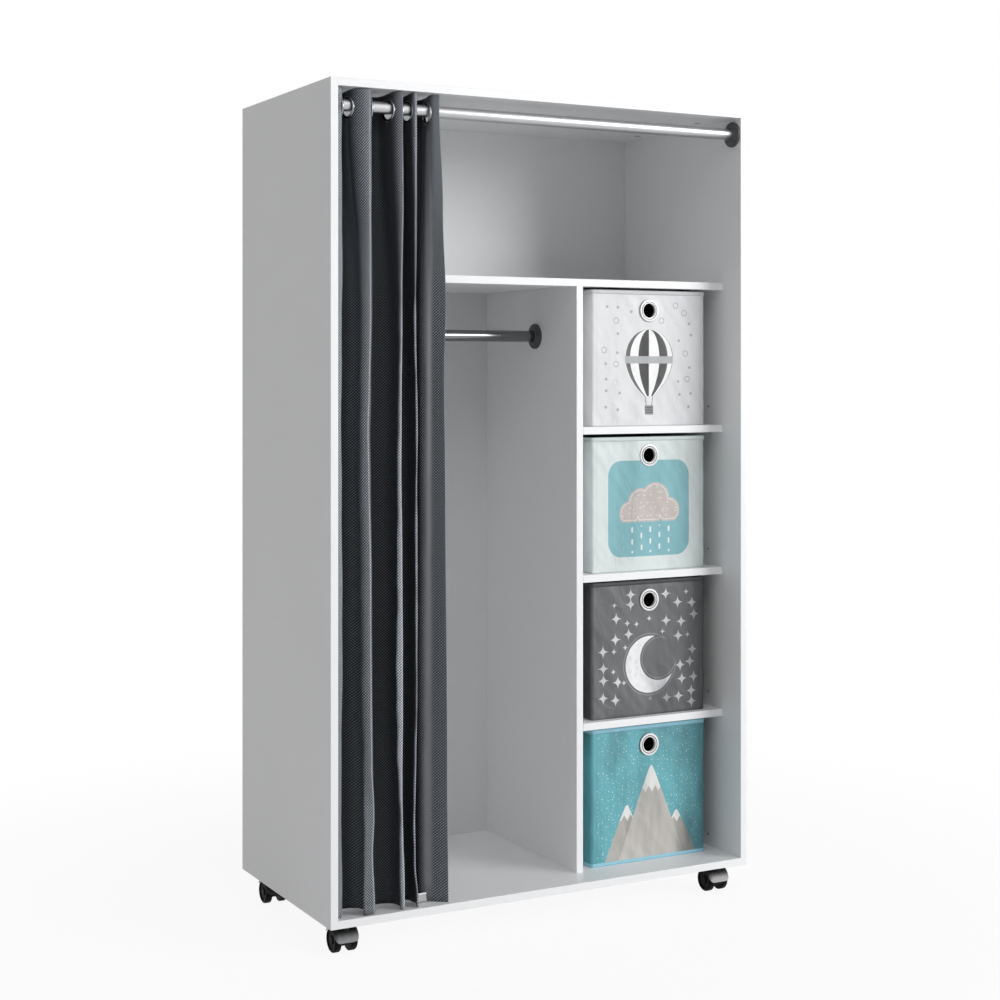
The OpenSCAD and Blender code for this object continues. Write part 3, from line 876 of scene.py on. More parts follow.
def cloth_point(column, row, line):
    """A point of the cloth: its plan line with drag creases, a drooping top and an uneven hem."""
    p = line[column]
    height = row_heights[row]
    share = (cloth_top - height) / cloth_length
    depth = (p.y - front_y) / (back_y - front_y)
    hem_wave = 2.2 * MM * depth + 0.8 * MM * math.sin(across_cloth[column] / 19)
    height -= 7 * MM * depth * smooth(1 - share * 8)
    height += hem_wave * smooth(share * 9 - 8)
    before, after = line[max(column - 1, 0)], line[min(column + 1, len(line) - 1)]
    along = (after - before).normalized()
    u, v = across_cloth[column] / 1000, height
    crease = noise.noise(Vector((u / 0.045, v / 0.16, 3.1))) * 1.1
    crease += noise.noise(Vector(((u + v * 0.35) / 0.02, v / 0.09, 8.7))) * 0.45
    crease *= smooth((rod_z - height) / 0.12)
    p = p + Vector((-along.y, along.x)) * crease
    return corner + Vector((p.x * MM, p.y * MM, height - corner.z))


def crease_distances(line, marks):
    """How far along the cloth each column lies from its fold's right crease, in millimetres."""
    along = arc_lengths(line)
    values = [99.0] * len(line)
    for fold, mark in zip((1, 3, 5), marks):
        columns = range(cross_column[fold], cross_column[fold + 1] + 1)
        nearest = min(columns, key=lambda k: (line[k] - mark).length)
        ahead = (line[nearest + 1] - line[nearest - 1]).normalized()
        middle = along[nearest] + ahead.dot(mark - line[nearest])
        for k in columns:
            values[k] = along[k] - middle
    return values


def painted_light_at(column, point, height):
    """How much painted light lightens the cloth's colour: most on what stands at the front, least
    in the valleys of the folds.
    """
    if column < edge_steps - 1:
        return 0.62 + 0.14 * smooth((height - 0.3) / 0.5)
    if column >= cross_column[7]:
        return 0.30
    fold = next(i for i in range(7) if column <= cross_column[i + 1])
    if fold == 6:
        return 0.30 * smooth((column - cross_column[6] - fold_steps * 0.68) / (fold_steps * 0.15))
    low = smooth((0.75 - height) / 0.4)
    # How far behind the front line the painted light reaches, and how strong it is there
    depth, most = {1: (33 - 13 * low, 0.53 - 0.02 * low),
                   3: (15, 0.22 + 0.68 * smooth((1.40 - height) / 0.3)),
                   5: (9, 0.5)}.get(fold, (14, 0.2))
    share = (column - cross_column[fold]) / fold_steps
    least = 0.30 * smooth((share - 0.48) / 0.32) if fold == 0 else 0.0
    if fold == 1:
        least = 0.20 * smooth((share - 0.06) / 0.22) * (1 - smooth((share - 0.7) / 0.1))
        ramp = smooth((share - 0.22) / 0.48)
        most *= 0.06 + 0.80 * max(ramp, smooth((0.42 - height) / 0.15))
    return max(least, most * (1 - smooth((point.y - front_y - 1) / depth)))


plan_lines = [plan_line(height) for height in row_heights]
cloth_grid = [[cloth_point(k, i, line) for k in range(len(line))]
              for i, (line, _) in enumerate(plan_lines)]
cloth_creases = [crease_distances(line, marks) for line, marks in plan_lines]
# Painted light for every point of the cloth.
cloth_painted_light = [[painted_light_at(k, point, height) for k, point in enumerate(line)]
                for height, (line, _) in zip(row_heights, plan_lines)]
eyelet_cut = 19.2 * MM

charcoal, at = new_finish("charcoal_basket_weave", "UV")
weave_pitch = 5.7 * MM
u, v, _ = at.axes()
twist = 2 * math.pi / weave_pitch
rise, fall = ((u - v) * twist).math("COSINE"), ((u + v) * twist).math("COSINE")
uneven = at.noise(110.0, 2.0)
over = (rise * 0.5 + 0.5).math("POWER", 1.9) * (0.56 - fall * 0.44) * (uneven * 1.1 + 0.55)
slub = at.stretched((9.0, 0.7, 1.0)).noise(220.0, 3.0, 0.6)
fibre = at.noise(1900.0, 2.0)
# The attribute read here carries painted light: the weave lightens on the folds that stand in the
# light and stays dark in their valleys.
painted_light = at.node("ShaderNodeAttribute", {"attribute_name": "painted_light"}, None, "Fac")
from_crease = at.node("ShaderNodeAttribute", {"attribute_name": "from_crease"}, None, "Fac")
# A smooth light band down the last fold, below its eyelet, is a painted highlight: lighter still
# near the rod, and with less weave showing.
drift = at.stretched((0.0, 1.0, 0.0)).noise(5.0, 2.0)
near_rod = 1 - v.under(1.40, 0.12)
streak_at = (across_cloth[cross_column[7]] + 1) * MM
off_streak = abs(u - streak_at - near_rod * (2 * MM) + (drift - 0.5) * (7 * MM))
streak_half = 4.5 * MM + near_rod * (3 * MM) + drift * (4 * MM)
painted_sheen_band = off_streak.under(streak_half, 5.5 * MM) * v.under(rod_z - 0.035, 0.02)
painted_sheen_band = painted_sheen_band * (1 - v.under(cloth_bottom + 0.02, 0.03))
tone = over * 1.2 + slub * 0.08 + fibre * 0.04
sunk = (painted_light * painted_light).mix((0.0015, 0.0020, 0.0027), (0.07, 0.077, 0.085))
raised = painted_light.mix((0.118, 0.129, 0.146), (0.81, 0.885, 0.965))
weave_colour = tone.mix(sunk, raised)
# A painted highlight along each front fold's right crease, where the fold's edge catches the light.
painted_highlight = abs(from_crease + 1.0).under(1.2, 0.6)
weave_colour = (painted_highlight * (0.1 + over * 0.9)).mix(weave_colour, (0.78, 0.81, 0.85))
streak = near_rod.mix((0.275, 0.278, 0.285), (0.52, 0.525, 0.535))
weave_colour = (painted_sheen_band * (0.92 - slub * 0.2)).mix(weave_colour, streak)
height = (over * 0.8 + fibre * 0.25) * (1 - painted_sheen_band * 0.9)
finish(charcoal, at, {"Base Color": weave_colour, "Roughness": 0.55 + slub * 0.16,
                      "Normal": height.bump(0.5 * MM, 0.8), "Specular IOR Level": 0.22,
                      "Sheen Weight": 0.06, "Sheen Roughness": 0.35,
                      "Sheen Tint": (0.80, 0.85, 0.92)})

cut_edge, at = new_finish("hem_edge_thread", "UV")
thread = at.noise(1300.0, 2.0)
finish(cut_edge, at, {"Base Color": thread.mix((0.20, 0.21, 0.225), (0.50, 0.52, 0.545)),
                      "Roughness": 0.7 + thread * 0.1, "Normal": thread.bump(0.2 * MM, 0.6)})


def settled(piece):
    """Works a piece's modifiers into its mesh."""
    depsgraph = bpy.context.evaluated_depsgraph_get()
    mesh = bpy.data.meshes.new_from_object(piece.evaluated_get(depsgraph),
                                           preserve_all_data_layers=True, depsgraph=depsgraph)
    piece.modifiers.clear()
    piece.data = mesh


def curtain_panel(name, first_column, last_column):
    """The cloth between two columns, with its eyelet holes cut and the weave laid along it."""
    def in_hole(i, k):
        column = first_column + k
        middle = (across_cloth[column] + across_cloth[column + 1]) / 2
        z = (row_heights[i] + row_heights[i + 1]) / 2
        return any(math.hypot((middle - across_cloth[c]) * MM, z - eyelet_z) < eyelet_cut
                   for c in cross_column)

    grid = [row[first_column:last_column + 1] for row in cloth_grid]
    mesh = piece_from_grid(name, grid, skip=in_hole)
    uv = mesh.uv_layers.new(name="cloth")
    # The cloth's painted light, kept on its points.
    painted_light = mesh.attributes.new("painted_light", "FLOAT", "POINT")
    from_crease = mesh.attributes.new("from_crease", "FLOAT", "POINT")
    lookup = {}
    for i, row in enumerate(grid):
        for k, point in enumerate(row):
            lookup[tuple(round(c, 5) for c in point)] = (i, first_column + k)
    for vertex in mesh.vertices:
        i, column = lookup[tuple(round(c, 5) for c in vertex.co)]
        painted_light.data[vertex.index].value = cloth_painted_light[i][column]
        from_crease.data[vertex.index].value = cloth_creases[i][column]
    for loop in mesh.loops:
        i, column = lookup[tuple(round(c, 5) for c in mesh.vertices[loop.vertex_index].co)]
        uv.data[loop.index].uv = (across_cloth[column] * MM, row_heights[i])
    piece = new_piece(name, mesh, materials=[charcoal, cut_edge])
    walled(piece, 1.2 * MM, rim=1)
    settled(piece)
    return piece


def crossing_point(i, height=0.0):
    """Where the cloth crosses the rod, at a height over the carcass's lower edge."""
    return Vector((corner.x + crossings[i] * MM, rod_y, corner.z + height))


def stitch_tree():
    """Stitches along a line: short threads, each a small ball drawn out along it."""
    start = new_tree("stitches", ["Length", "Gap", "Thickness"])
    length, thickness = start.output("Length"), start.output("Thickness")
    line = start.node("GeometryNodeMeshToCurve", None, {0: start})
    spaced = line.node("GeometryNodeResampleCurve", {"mode": "LENGTH"},
                       {"Curve": line, "Length": length + start.output("Gap")})
    tangent = start.node("GeometryNodeInputTangent")
    turned_to = start.node("FunctionNodeAlignRotationToVector", {"axis": "X"},
                           {"Vector": tangent})
    thread = start.node("GeometryNodeMeshUVSphere", None,
                        {"Segments": 6, "Rings": 5, "Radius": 0.5})
    size = start.node("ShaderNodeCombineXYZ", None, {"X": length, "Y": thickness, "Z": thickness})
    copies = start.node("GeometryNodeInstanceOnPoints", None, {
        "Points": spaced, "Instance": thread, "Rotation": turned_to, "Scale": size})
    smooth_copies = copies.node("GeometryNodeSetShadeSmooth", None, {0: copies})
    return end_tree(smooth_copies, start)


stitches = stitch_tree()
hem_thread, at = new_finish("charcoal_thread")
ply = at.noise(2600.0, 2.0)
finish(hem_thread, at, {"Base Color": ply.mix((0.045, 0.049, 0.055), (0.13, 0.14, 0.155)),
                        "Roughness": 0.55 + ply * 0.15, "Normal": ply.bump(0.1 * MM, 0.5)})


def line_mesh(runs):
    """Separate open lines as one mesh of edges."""
    points, edges = [], []
    for run in runs:
        edges += [(len(points) + i, len(points) + i + 1) for i in range(len(run) - 1)]
        points += [tuple(p) for p in run]
    mesh = bpy.data.meshes.new("lines")
    mesh.from_pydata(points, edges, [])
    return mesh


def nearest_row(height):
    """The row of the cloth's grid that lies closest to a height."""
    return min(range(len(row_heights)), key=lambda i: abs(row_heights[i] - height))


def hem_stitches(name, first_column, last_column, side_columns):
    """Rows of stitches on both faces along the header, the bottom hem and the side hems."""
    hem_rows = [nearest_row(rod_z - 0.055), nearest_row(cloth_bottom + hem_depth)]

    def off(i, k, side):
        row = cloth_grid[i]
        along = (row[min(k + 1, len(row) - 1)] - row[max(k - 1, 0)]).normalized()
        return row[k] + Vector((-along.y, along.x, 0)) * side * MM

    runs = []
    for side in (-0.75, 0.75):
        for i in hem_rows:
            runs.append([off(i, k, side) for k in range(first_column, last_column + 1)])
        for k in side_columns:
            runs.append([off(i, k, side) for i in range(2, len(row_heights) - 1)])
    mesh = grown(name, stitches, line_mesh(runs), {
        "Length": 3.4 * MM, "Gap": 1.4 * MM, "Thickness": 0.7 * MM, "Material": hem_thread})
    return new_piece(name, mesh)


label_satin, at = new_finish("blank_label_satin")
rib = at.stretched((1.0, 1.0, 6.0)).noise(700.0, 2.0)
_, _, z = at.axes()
# The label's top strip is painted near white: a painted highlight along its top edge.
painted_top_highlight = 1 - z.under(cloth_bottom + 16.2 * MM, 0.4 * MM)
satin = rib.mix((0.36, 0.365, 0.37), (0.46, 0.465, 0.47))
finish(label_satin, at, {"Base Color": painted_top_highlight.mix(satin, (0.80, 0.80, 0.80)),
                         "Roughness": 0.45 + rib * 0.1, "Normal": rib.bump(0.1 * MM, 0.4)})


def hem_label():
    """A small blank label, sewn in at the last crossing and standing across the fold before it."""
    label_width, label_height, rows, columns = 26, 18.0, 7, 9
    seam_line = cloth_grid[-6][cross_column[7]]
    grid = []
    for i in range(rows + 1):
        height = cloth_bottom + (0.5 + label_height * i / rows) * MM
        grid.append([Vector((seam_line.x + (3 - label_width * k / columns) * MM,
                             seam_line.y - 1.2 * MM
                             + 1.5 * MM * math.sin(k / columns * 3.4 + i * 0.15),
                             height + 0.8 * MM * k / columns)) for k in range(columns + 1)])
    piece = new_piece("curtain_label", piece_from_grid("curtain_label", grid),
                      materials=[label_satin])
    walled(piece, 0.6 * MM)
    settled(piece)
    return piece


# Each panel's name, first and last column, number, and the columns that its side hem follows
panels = [
    ("curtain_left_edge", 0, cross_column[2], 1, [3]),
    ("curtain_second_fold", cross_column[2], cross_column[4], 2, []),
    ("curtain_third_fold", cross_column[4], cross_column[6], 3, []),
    ("curtain_right_edge", cross_column[6], len(at_rod) - 1, 4, [len(at_rod) - 7]),
]
for name, first_column, last_column, number, side_columns in panels:
    panel = curtain_panel(name, first_column, last_column)
    sewn_on = [hem_stitches(name + "_stitches", first_column, last_column, side_columns)]
    if number == 4:
        sewn_on.append(hem_label())
    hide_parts(f"curtain_cloth_{number}", *(["curtain_cloth_5"] if number == 4 else []))
    for part in (panel, *sewn_on):
        f"curtain_{number + 1}"
        crossing_point(2 * number - 2)
        crossing_point(2 * number - 1)
        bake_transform(part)
    width = (across_cloth[last_column] - across_cloth[first_column]) * MM


# ---------------------------------------------------------------- curtain eyelets
# Eight polished two part eyelets, pressed through the header of the cloth. Each is a rolled
# ring, 34 mm inside and 44 mm outside, that slides on the rod.

def eyelet_tree():
    """A rolled ring on every point, square to the direction that the point faces."""
    start = new_tree("eyelets", ["Inner radius", "Roll width", "Roll height"])
    inner, roll = start.output("Inner radius"), start.output("Roll width")
    circle = start.node("GeometryNodeCurvePrimitiveCircle", None,
                        {"Resolution": 72, "Radius": inner + roll * 0.5})
    section = start.node("GeometryNodeCurvePrimitiveCircle", None,
                         {"Resolution": 16, "Radius": 0.5})
    size = start.node("ShaderNodeCombineXYZ", None,
                      {"X": roll, "Y": start.output("Roll height"), "Z": 1.0})
    section = section.node("GeometryNodeTransform", None, {"Geometry": section, "Scale": size})
    ring = circle.node("GeometryNodeCurveToMesh", None, {"Curve": circle, "Profile Curve": section})
    ring = ring.node("GeometryNodeSetShadeSmooth", None, {0: ring})
    return end_on_points(ring, start)


eyelet_metal, at = new_finish("eyelet_metal")
scuffs = at.noise(90.0, 3.0)
_, y, z = at.axes()
# The inner lip of each ring is painted near black: painted shade inside the hole.
lip = (y - rod_y).length_with(z - eyelet_z).under(19.0 * MM, 0.6 * MM)
plating = scuffs.mix((0.25, 0.26, 0.275), (0.36, 0.37, 0.385))
finish(eyelet_metal, at, {"Base Color": lip.mix(plating, (0.035, 0.036, 0.038)),
                          "Metallic": 1.0, "Roughness": 0.14 + scuffs * 0.10,
                          "Normal": scuffs.bump(0.01 * MM, 0.2)})
eyelets = eyelet_tree()
for number in range(1, 6):
    own = [i for i in (2 * number - 3, 2 * number - 2) if 0 <= i < len(crossings)]
    points = [crossing_point(i, eyelet_z - corner.z) for i in own]
    facings = [(1, last_lean if i == 7 else lean if i % 2 else -lean, 0) for i in own]
    mesh = grown(f"curtain_rings_{number}", eyelets, places(points, facings),
                 {"Inner radius": 17 * MM, "Roll width": 5.2 * MM, "Roll height": 5.0 * MM,
                  "Material": eyelet_metal})
    new_piece(f"curtain_rings_{number}", mesh, f"curtain_{number}",
              [f"curtain_eyelets_{number}"])


# ---------------------------------------------------------------- fabric boxes
# Four folding boxes of printed polyester sewn over stiff board, lined with black felt and
# bound with tape round the rim. The walls stay a little wavy where the board flexes.

box_radius, board_wall, proud = 7 * MM, 3.5 * MM, 0.8 * MM
ring_height, ring_cut = 0.255, 19.3 * MM


def felt(name, dark, light, scale, pile):
    """Felt with a short pile."""
    material, at = new_finish(name)
    fluff = at.noise(scale, 4.0, 0.7)
    return finish(material, at, {"Base Color": fluff.mix(dark, light),
                                 "Roughness": 0.85 + fluff * 0.1,
                                 "Normal": fluff.bump(pile, 0.7)})


black_felt = felt("black_felt_lining", (0.006, 0.006, 0.007), (0.022, 0.022, 0.024), 800.0,
                  0.4 * MM)
grey_board = felt("felt_covered_base", (0.012, 0.012, 0.013), (0.035, 0.035, 0.038), 500.0,
                  0.3 * MM)


def perimeter(width, depth, radius, step):
    """Points round a rounded rectangle, each with its outward direction and its distance."""
    half_x, half_y, turn_steps = width / 2 - radius, depth / 2 - radius, 8
    corners = [(half_x, -half_y, -90), (half_x, half_y, 0), (-half_x, half_y, 90),
               (-half_x, -half_y, 180)]
    points = []
    for i, (x, y, start) in enumerate(corners):
        for k in range(turn_steps + 1):
            angle = math.radians(start + 90 * k / turn_steps)
            out = Vector((math.cos(angle), math.sin(angle), 0))
            points.append((Vector((x, y, 0)) + out * radius, out))
        next_x, next_y, _ = corners[(i + 1) % 4]
        begin, end = points[-1][0], Vector((next_x, next_y, 0)) + out * radius
        count = round((end - begin).length / step)
        points += [(begin.lerp(end, k / count), out) for k in range(1, count)]
    total, made = 0.0, []
    for i, (point, out) in enumerate(points):
        made.append((point, out, total))
        total += (points[(i + 1) % len(points)][0] - point).length
    return made


def box_wall(number, centre, bottom, height, width, depth):
    """The outer cloth of a box from its bottom edge to its rim, waved and creased a little."""
    step, rows, seed = 3.2 * MM, 92, 17.0 * number
    rim_points = perimeter(width, depth, box_radius, step)
    levels = [0.0, 0.6 * MM, 1.8 * MM]
    levels += [step + (height - step) * i / rows for i in range(rows + 1)]
    insets = {0: 2.6 * MM, 1: 0.9 * MM, 2: 0.2 * MM}
    grid = []
    for i, level in enumerate(levels):
        t = level / height
        fade = smooth(t * 14) * smooth((1 - t) * 16)
        bow = math.sin(math.pi * t) * 0.9
        near_ends = 0.45 + 0.55 * abs(2 * t - 1) ** 1.5
        row = []
        for point, out, distance in rim_points:
            waves = noise.noise(Vector((distance / 0.052, level / 0.19, seed))) * 2.4
            diagonal = noise.noise(Vector(((distance + level * 0.8) / 0.024,
                                           (distance - level * 0.8) / 0.11, seed + 5))) * 1.4
            push = fade * (waves * near_ends + diagonal * near_ends - bow * 0.3) * MM
            p = point + out * (push - insets.get(i, 0.0))
            row.append(Vector((centre.x + p.x, centre.y + p.y, bottom + level)))
        grid.append(row)

    def in_hole(i, k):
        a, b = grid[i][k], grid[i + 1][(k + 1) % len(grid[i])]
        middle = (a + b) / 2
        return (middle.y < centre.y - depth / 2 + 6 * MM and
                math.hypot(middle.x - centre.x, middle.z - bottom - ring_height) < ring_cut)

    mesh = piece_from_grid(f"box_{number}_walls", grid, around=True, skip=in_hole)
    shape = bmesh.new()
    shape.from_mesh(mesh)
    lowest = [e for e in shape.edges if e.is_boundary
              and all(abs(v.co.z - bottom) < 1e-6 for v in e.verts)]
    bmesh.ops.contextual_create(shape, geom=lowest)
    bmesh.ops.recalc_face_normals(shape, faces=shape.faces)
    shape.to_mesh(mesh)
    shape.free()
    return mesh


def scatter(at, x, z, pitch, loose):
    """Random places about a pitch apart: the place, the offset from it, and random numbers."""
    flat = at.node("ShaderNodeCombineXYZ", None, {"X": x, "Y": z, "Z": 0.0})
    place = at.node("ShaderNodeTexVoronoi", {"voronoi_dimensions": "2D", "feature": "F1"},
                    {"Vector": flat, "Scale": 1 / pitch, "Randomness": loose}, "Position")
    px, pz, _ = place.axes()
    chance = place.output("Color").axes()
    return (px, pz), (x - px, z - pz), chance


soft = 0.3 * MM  # how softly the inks of the prints end


def in_frame(x, z, half_x, middle_z, half_z, edge):
    """1 inside an upright rectangle of a box's front and 0 outside, its sizes in millimetres."""
    return abs(x).under(half_x * MM, edge) * abs(z - middle_z * MM).under(half_z * MM, edge)


def balloon_print(at, x, z):
    """White cloth with pale grey rings and dots, and a striped balloon with its basket."""
    white, pale = (0.72, 0.73, 0.745), (0.42, 0.435, 0.445)
    grey, ink = (0.27, 0.28, 0.29), (0.018, 0.019, 0.020)
    (px, pz), (dx, dz), (chance, chance_2, _) = scatter(at, x, z, 31 * MM, 0.62)
    far = dx.length_with(dz)
    ring = abs(far - 6.2 * MM).under(0.9 * MM, soft)
    dot = far.under(3.4 * MM, soft)
    small = chance.under(0.5, 0.01)
    marks = ring * small + dot * (1 - small)
    column = 1 - abs(px).under(74 * MM, 1 * MM) * pz.under(232 * MM, 1 * MM)
    inside = in_frame(px, pz, 124, 148, 126, 1 * MM)
    near_ring = 1 - px.length_with(pz - ring_height).under(38 * MM, 1 * MM)
    marks = marks * column * inside * near_ring * (1 - chance_2.under(0.14, 0.01))
    colour = marks.mix(white, pale)
    radius, middle, low_part = 63 * MM, 150 * MM, 84 * MM
    up = z - middle
    above = 1 - up.under(0, 0.01 * MM)
    down = (up * -1 / low_part).most(0.0)
    upper = (radius * radius - up * up).most(0.000001).math("SQRT")
    lower = (1 - down * down * 0.80) * radius
    half = upper * above + lower * (1 - above)
    share = x / half
    body = abs(share).under(1.0, 0.008) * down.under(1.0, 0.004)
    body = body * abs(up).under(radius + low_part, soft) * up.under(radius, soft)
    gore = share.most(-1.0).least(1.0).math("ARCSINE") * (7 / math.pi) + 3.5
    stripe = abs(gore.math("MODULO", 2.0) - 1).under(0.5, 0.03)
    shade = ((gore / 7 - 0.5) * (gore / 7 - 0.5) * 2.4).least(1.0)
    fabric = stripe.mix((0.90, 0.90, 0.90), shade.mix(ink, grey))
    band = abs(up + 4 * MM).under(8 * MM, soft)
    fabric = band.mix(fabric, pale)
    colour = body.mix(colour, fabric)
    ropes = abs(abs(x) - (z - 45 * MM) * 0.16 - 7 * MM).under(0.7 * MM, soft)
    ropes = ropes * abs(z - 55 * MM).under(11 * MM, soft)
    basket = in_frame(x, z, 11, 35, 10, soft)
    wicker = (z * (2 * math.pi / (4 * MM))).math("SINE").under(0.2, 0.2)
    colour = ropes.mix(colour, ink)
    return basket.mix(colour, wicker.mix(ink, grey))


def cloud_print(at, x, z):
    """Pale mint cloth with a round cornered teal field, and on it a beige cloud with rain."""
    mint, teal = (0.665, 0.735, 0.725), (0.20, 0.44, 0.485)
    beige, cream = (0.52, 0.47, 0.44), (0.80, 0.80, 0.79)
    inner = 72 * MM
    edge = (abs(x) - inner).most(0.0).length_with((abs(z - 138 * MM) - inner).most(0.0))
    field = edge.under(34 * MM, soft)
    colour = field.mix(mint, teal)
    _, (dx, dz), _ = scatter(at, x, z, 15 * MM, 0.8)
    puffs = ((-50, 128, 27), (-22, 150, 33), (17, 158, 37), (52, 132, 29), (0, 128, 34))
    cloud = None
    for puff_x, puff_z, size in puffs:
        near = (x - puff_x * MM).length_with(z - puff_z * MM) - size * MM
        cloud = near if cloud is None else cloud.least(near)
    cloud = cloud.most(108 * MM - z)
    rain_x = (x + 0.2).math("MODULO", 24 * MM) - 12 * MM
    row = ((x + 0.2) / (24 * MM)).math("FLOOR").math("MODULO", 2.0)
    rain_z = abs((z + row * 13 * MM).math("MODULO", 26 * MM) - 13 * MM)
    drop = abs(rain_x).length_with((rain_z - 4 * MM).most(0.0)).under(2.2 * MM, soft)
    drop = drop * abs(x).under(66 * MM, 1 * MM) * abs(z - 70 * MM).under(30 * MM, soft)
    colour = drop.mix(colour, cream)
    colour = cloud.under(0, soft).mix(colour, beige)
    stitch = abs(cloud + 4.5 * MM).under(0.7 * MM, soft)
    colour = (stitch * 0.8).mix(colour, cream)
    fleck = abs(dx.length_with(dz) - 1.6 * MM).under(0.7 * MM, soft) * dz.under(0, 0.2 * MM)
    return (fleck * cloud.under(-7 * MM, soft) * 0.9).mix(colour, cream)


def moon_print(at, x, z):
    """Charcoal cloth with two sizes of pale stars, and a white crescent moon."""
    charcoal_ground, pale, white = (0.080, 0.083, 0.087), (0.60, 0.62, 0.63), (0.80, 0.81, 0.82)
    (px, pz), (dx, dz), (chance, chance_2, _) = scatter(at, x, z, 33 * MM, 0.66)
    size = (1 - chance.under(0.42, 0.01)) * (7.5 * MM) + 8.5 * MM
    star = (abs(dx).math("SQRT") + abs(dz).math("SQRT")).math("POWER", 2.0) - size
    star = star.under(0, 0.5 * MM)
    away = 1 - (px - 4 * MM).length_with(pz - 112 * MM).under(76 * MM, 1 * MM)
    away = away * (1 - px.length_with(pz - ring_height).under(40 * MM, 1 * MM))
    inside = in_frame(px, pz, 122, 146, 128, 1 * MM)
    colour = (star * away * inside * (1 - chance_2.under(0.06, 0.01))).mix(charcoal_ground, pale)
    disc = (x - 2 * MM).length_with(z - 112 * MM) - 63 * MM
    bite = 50 * MM - (x - 27 * MM).length_with(z - 125 * MM)
    moon = disc.most(bite)
    colour = moon.under(0, soft).mix(colour, white)
    _, (cx, cz), _ = scatter(at, x, z, 19 * MM, 0.8)
    crater = abs(cx.length_with(cz) - 3.4 * MM).under(0.6 * MM, soft)
    colour = (crater * moon.under(-6 * MM, soft) * 0.6).mix(colour, (0.42, 0.43, 0.44))
    rim = abs(moon - 5 * MM).under(0.7 * MM, soft)
    return (rim * 0.8).mix(colour, (0.30, 0.31, 0.32))


def mountain_print(at, x, z):
    """Teal cloth with white flecks of snow, and three beige mountains with white caps."""
    teal, white = (0.120, 0.405, 0.455), (0.80, 0.80, 0.79)
    beige, shade = (0.55, 0.525, 0.49), (0.44, 0.42, 0.39)
    flakes = None
    for pitch, size in ((13 * MM, 1.15 * MM), (8.5 * MM, 0.7 * MM)):
        _, (dx, dz), (chance, _, _) = scatter(at, x + pitch, z, pitch, 1.0)
        flake = dx.length_with(dz).under(size, soft) * (1 - chance.under(0.45, 0.01))
        flakes = flake if flakes is None else flakes.most(flake)
    flakes = flakes * abs(x).under(136 * MM, 1 * MM)
    colour = (flakes * 0.85).mix(teal, (0.72, 0.84, 0.85))
    peaks = ((-58, 128, 56, shade), (72, 104, 50, shade), (6, 208, 84, beige))
    for peak_x, peak_z, half, face in peaks:
        peak_x, peak_z, half = peak_x * MM, peak_z * MM, half * MM
        ridge = abs((z * (1 / (22 * MM)) + x * 9).math("SINE")) * 1.5 * MM
        away = (abs(x - peak_x) * abs(x - peak_x) + (5 * MM) ** 2).math("SQRT") - 5 * MM
        slope = z - (peak_z - away * (peak_z / half)) + ridge
        hill = slope.under(0, soft)
        tooth = abs(((x - peak_x + 0.5) / (17 * MM)).math("FRACT") - 0.5) * (26 * MM)
        cap = (peak_z * 0.72 - z + tooth).under(0, soft)
        light = (x - peak_x + tooth * 0.5).under(0, 1 * MM)
        rock = light.mix(tuple(c * 0.90 for c in face), face)
        colour = hill.mix(colour, cap.mix(rock, white))
    return colour


def printed_cloth(number, centre, bottom, front, paint, ground):
    """Satin polyester: its print on the front only, with a fine weave, soft ironed creases, and
    painted shade towards the right and in its folds.
    """
    material, at = new_finish(f"box_{number}_print")
    x, y, z = at.axes()
    local_x, local_z = x - centre.x, z - bottom
    crinkle = at.stretched((1.0, 1.0, 0.35), (0, 0.5, 0)).noise(17.0, 2.0, 0.5)
    crinkle_2 = at.stretched((1.0, 1.0, 0.4), (0, -0.6, 0)).noise(33.0, 2.0, 0.45)
    crumple = at.stretched((1.0, 1.0, 0.6), (0, 0.75, 0)).noise(11.0, 2.0, 0.5)
    ridges = abs(crumple * 2 - 1).under(0.02, 0.035) * crinkle.under(0.55, 0.1)
    folds = crinkle * 0.65 + crinkle_2 * 0.35
    # How strongly painted shade darkens each box's front, given per box.
    satin = {2: 0.1, 3: 0.9, 4: 0.6}.get(number, 0.0)
    pattern = paint(at, local_x, local_z)
    on_front = y.under(front + 5 * MM, 0.4 * MM)
    seam = abs(abs(local_x) - 136 * MM).under(0.5 * MM, 0.3 * MM) * on_front
    colour = on_front.mix(ground, pattern)
    colour = (seam * 0.35).mix(colour, tuple(c * 0.55 for c in ground))
    # Painted shade: the front is darkened towards the right wall and in the hollows of its folds.
    painted_shade = (1 - local_x.under(0.075 + (crinkle - 0.5) * 0.16, 0.06)) * satin
    painted_shade = (painted_shade + folds.under(0.46, 0.14) * (0.16 + satin * 0.6)).least(1.0)
    colour_with_painted_shade = folds.node("ShaderNodeMix", {"data_type": "RGBA", "blend_type": "MULTIPLY"},
                      {0: painted_shade, 6: colour, 7: (0.42, 0.43, 0.45)}, 2)
    thread = 0.5 * MM
    weave = (x * (math.pi / thread)).math("SINE") * ((z + y) * (math.pi / thread)).math("SINE")
    fine = at.noise(1600.0, 2.0)
    relief = folds * (9.0 if number == 3 else 6.5) + ridges * 0.5 + (weave * 0.5 + fine) * 0.045
    return finish(material, at, {"Base Color": colour_with_painted_shade, "Roughness": 0.46 + fine * 0.10 + folds * 0.08,
                                 "Normal": relief.bump(0.9 * MM, 0.75), "Sheen Weight": 0.15,
                                 "Sheen Roughness": 0.5,
                                 "Specular IOR Level": 0.8 if number == 3 else 0.5})


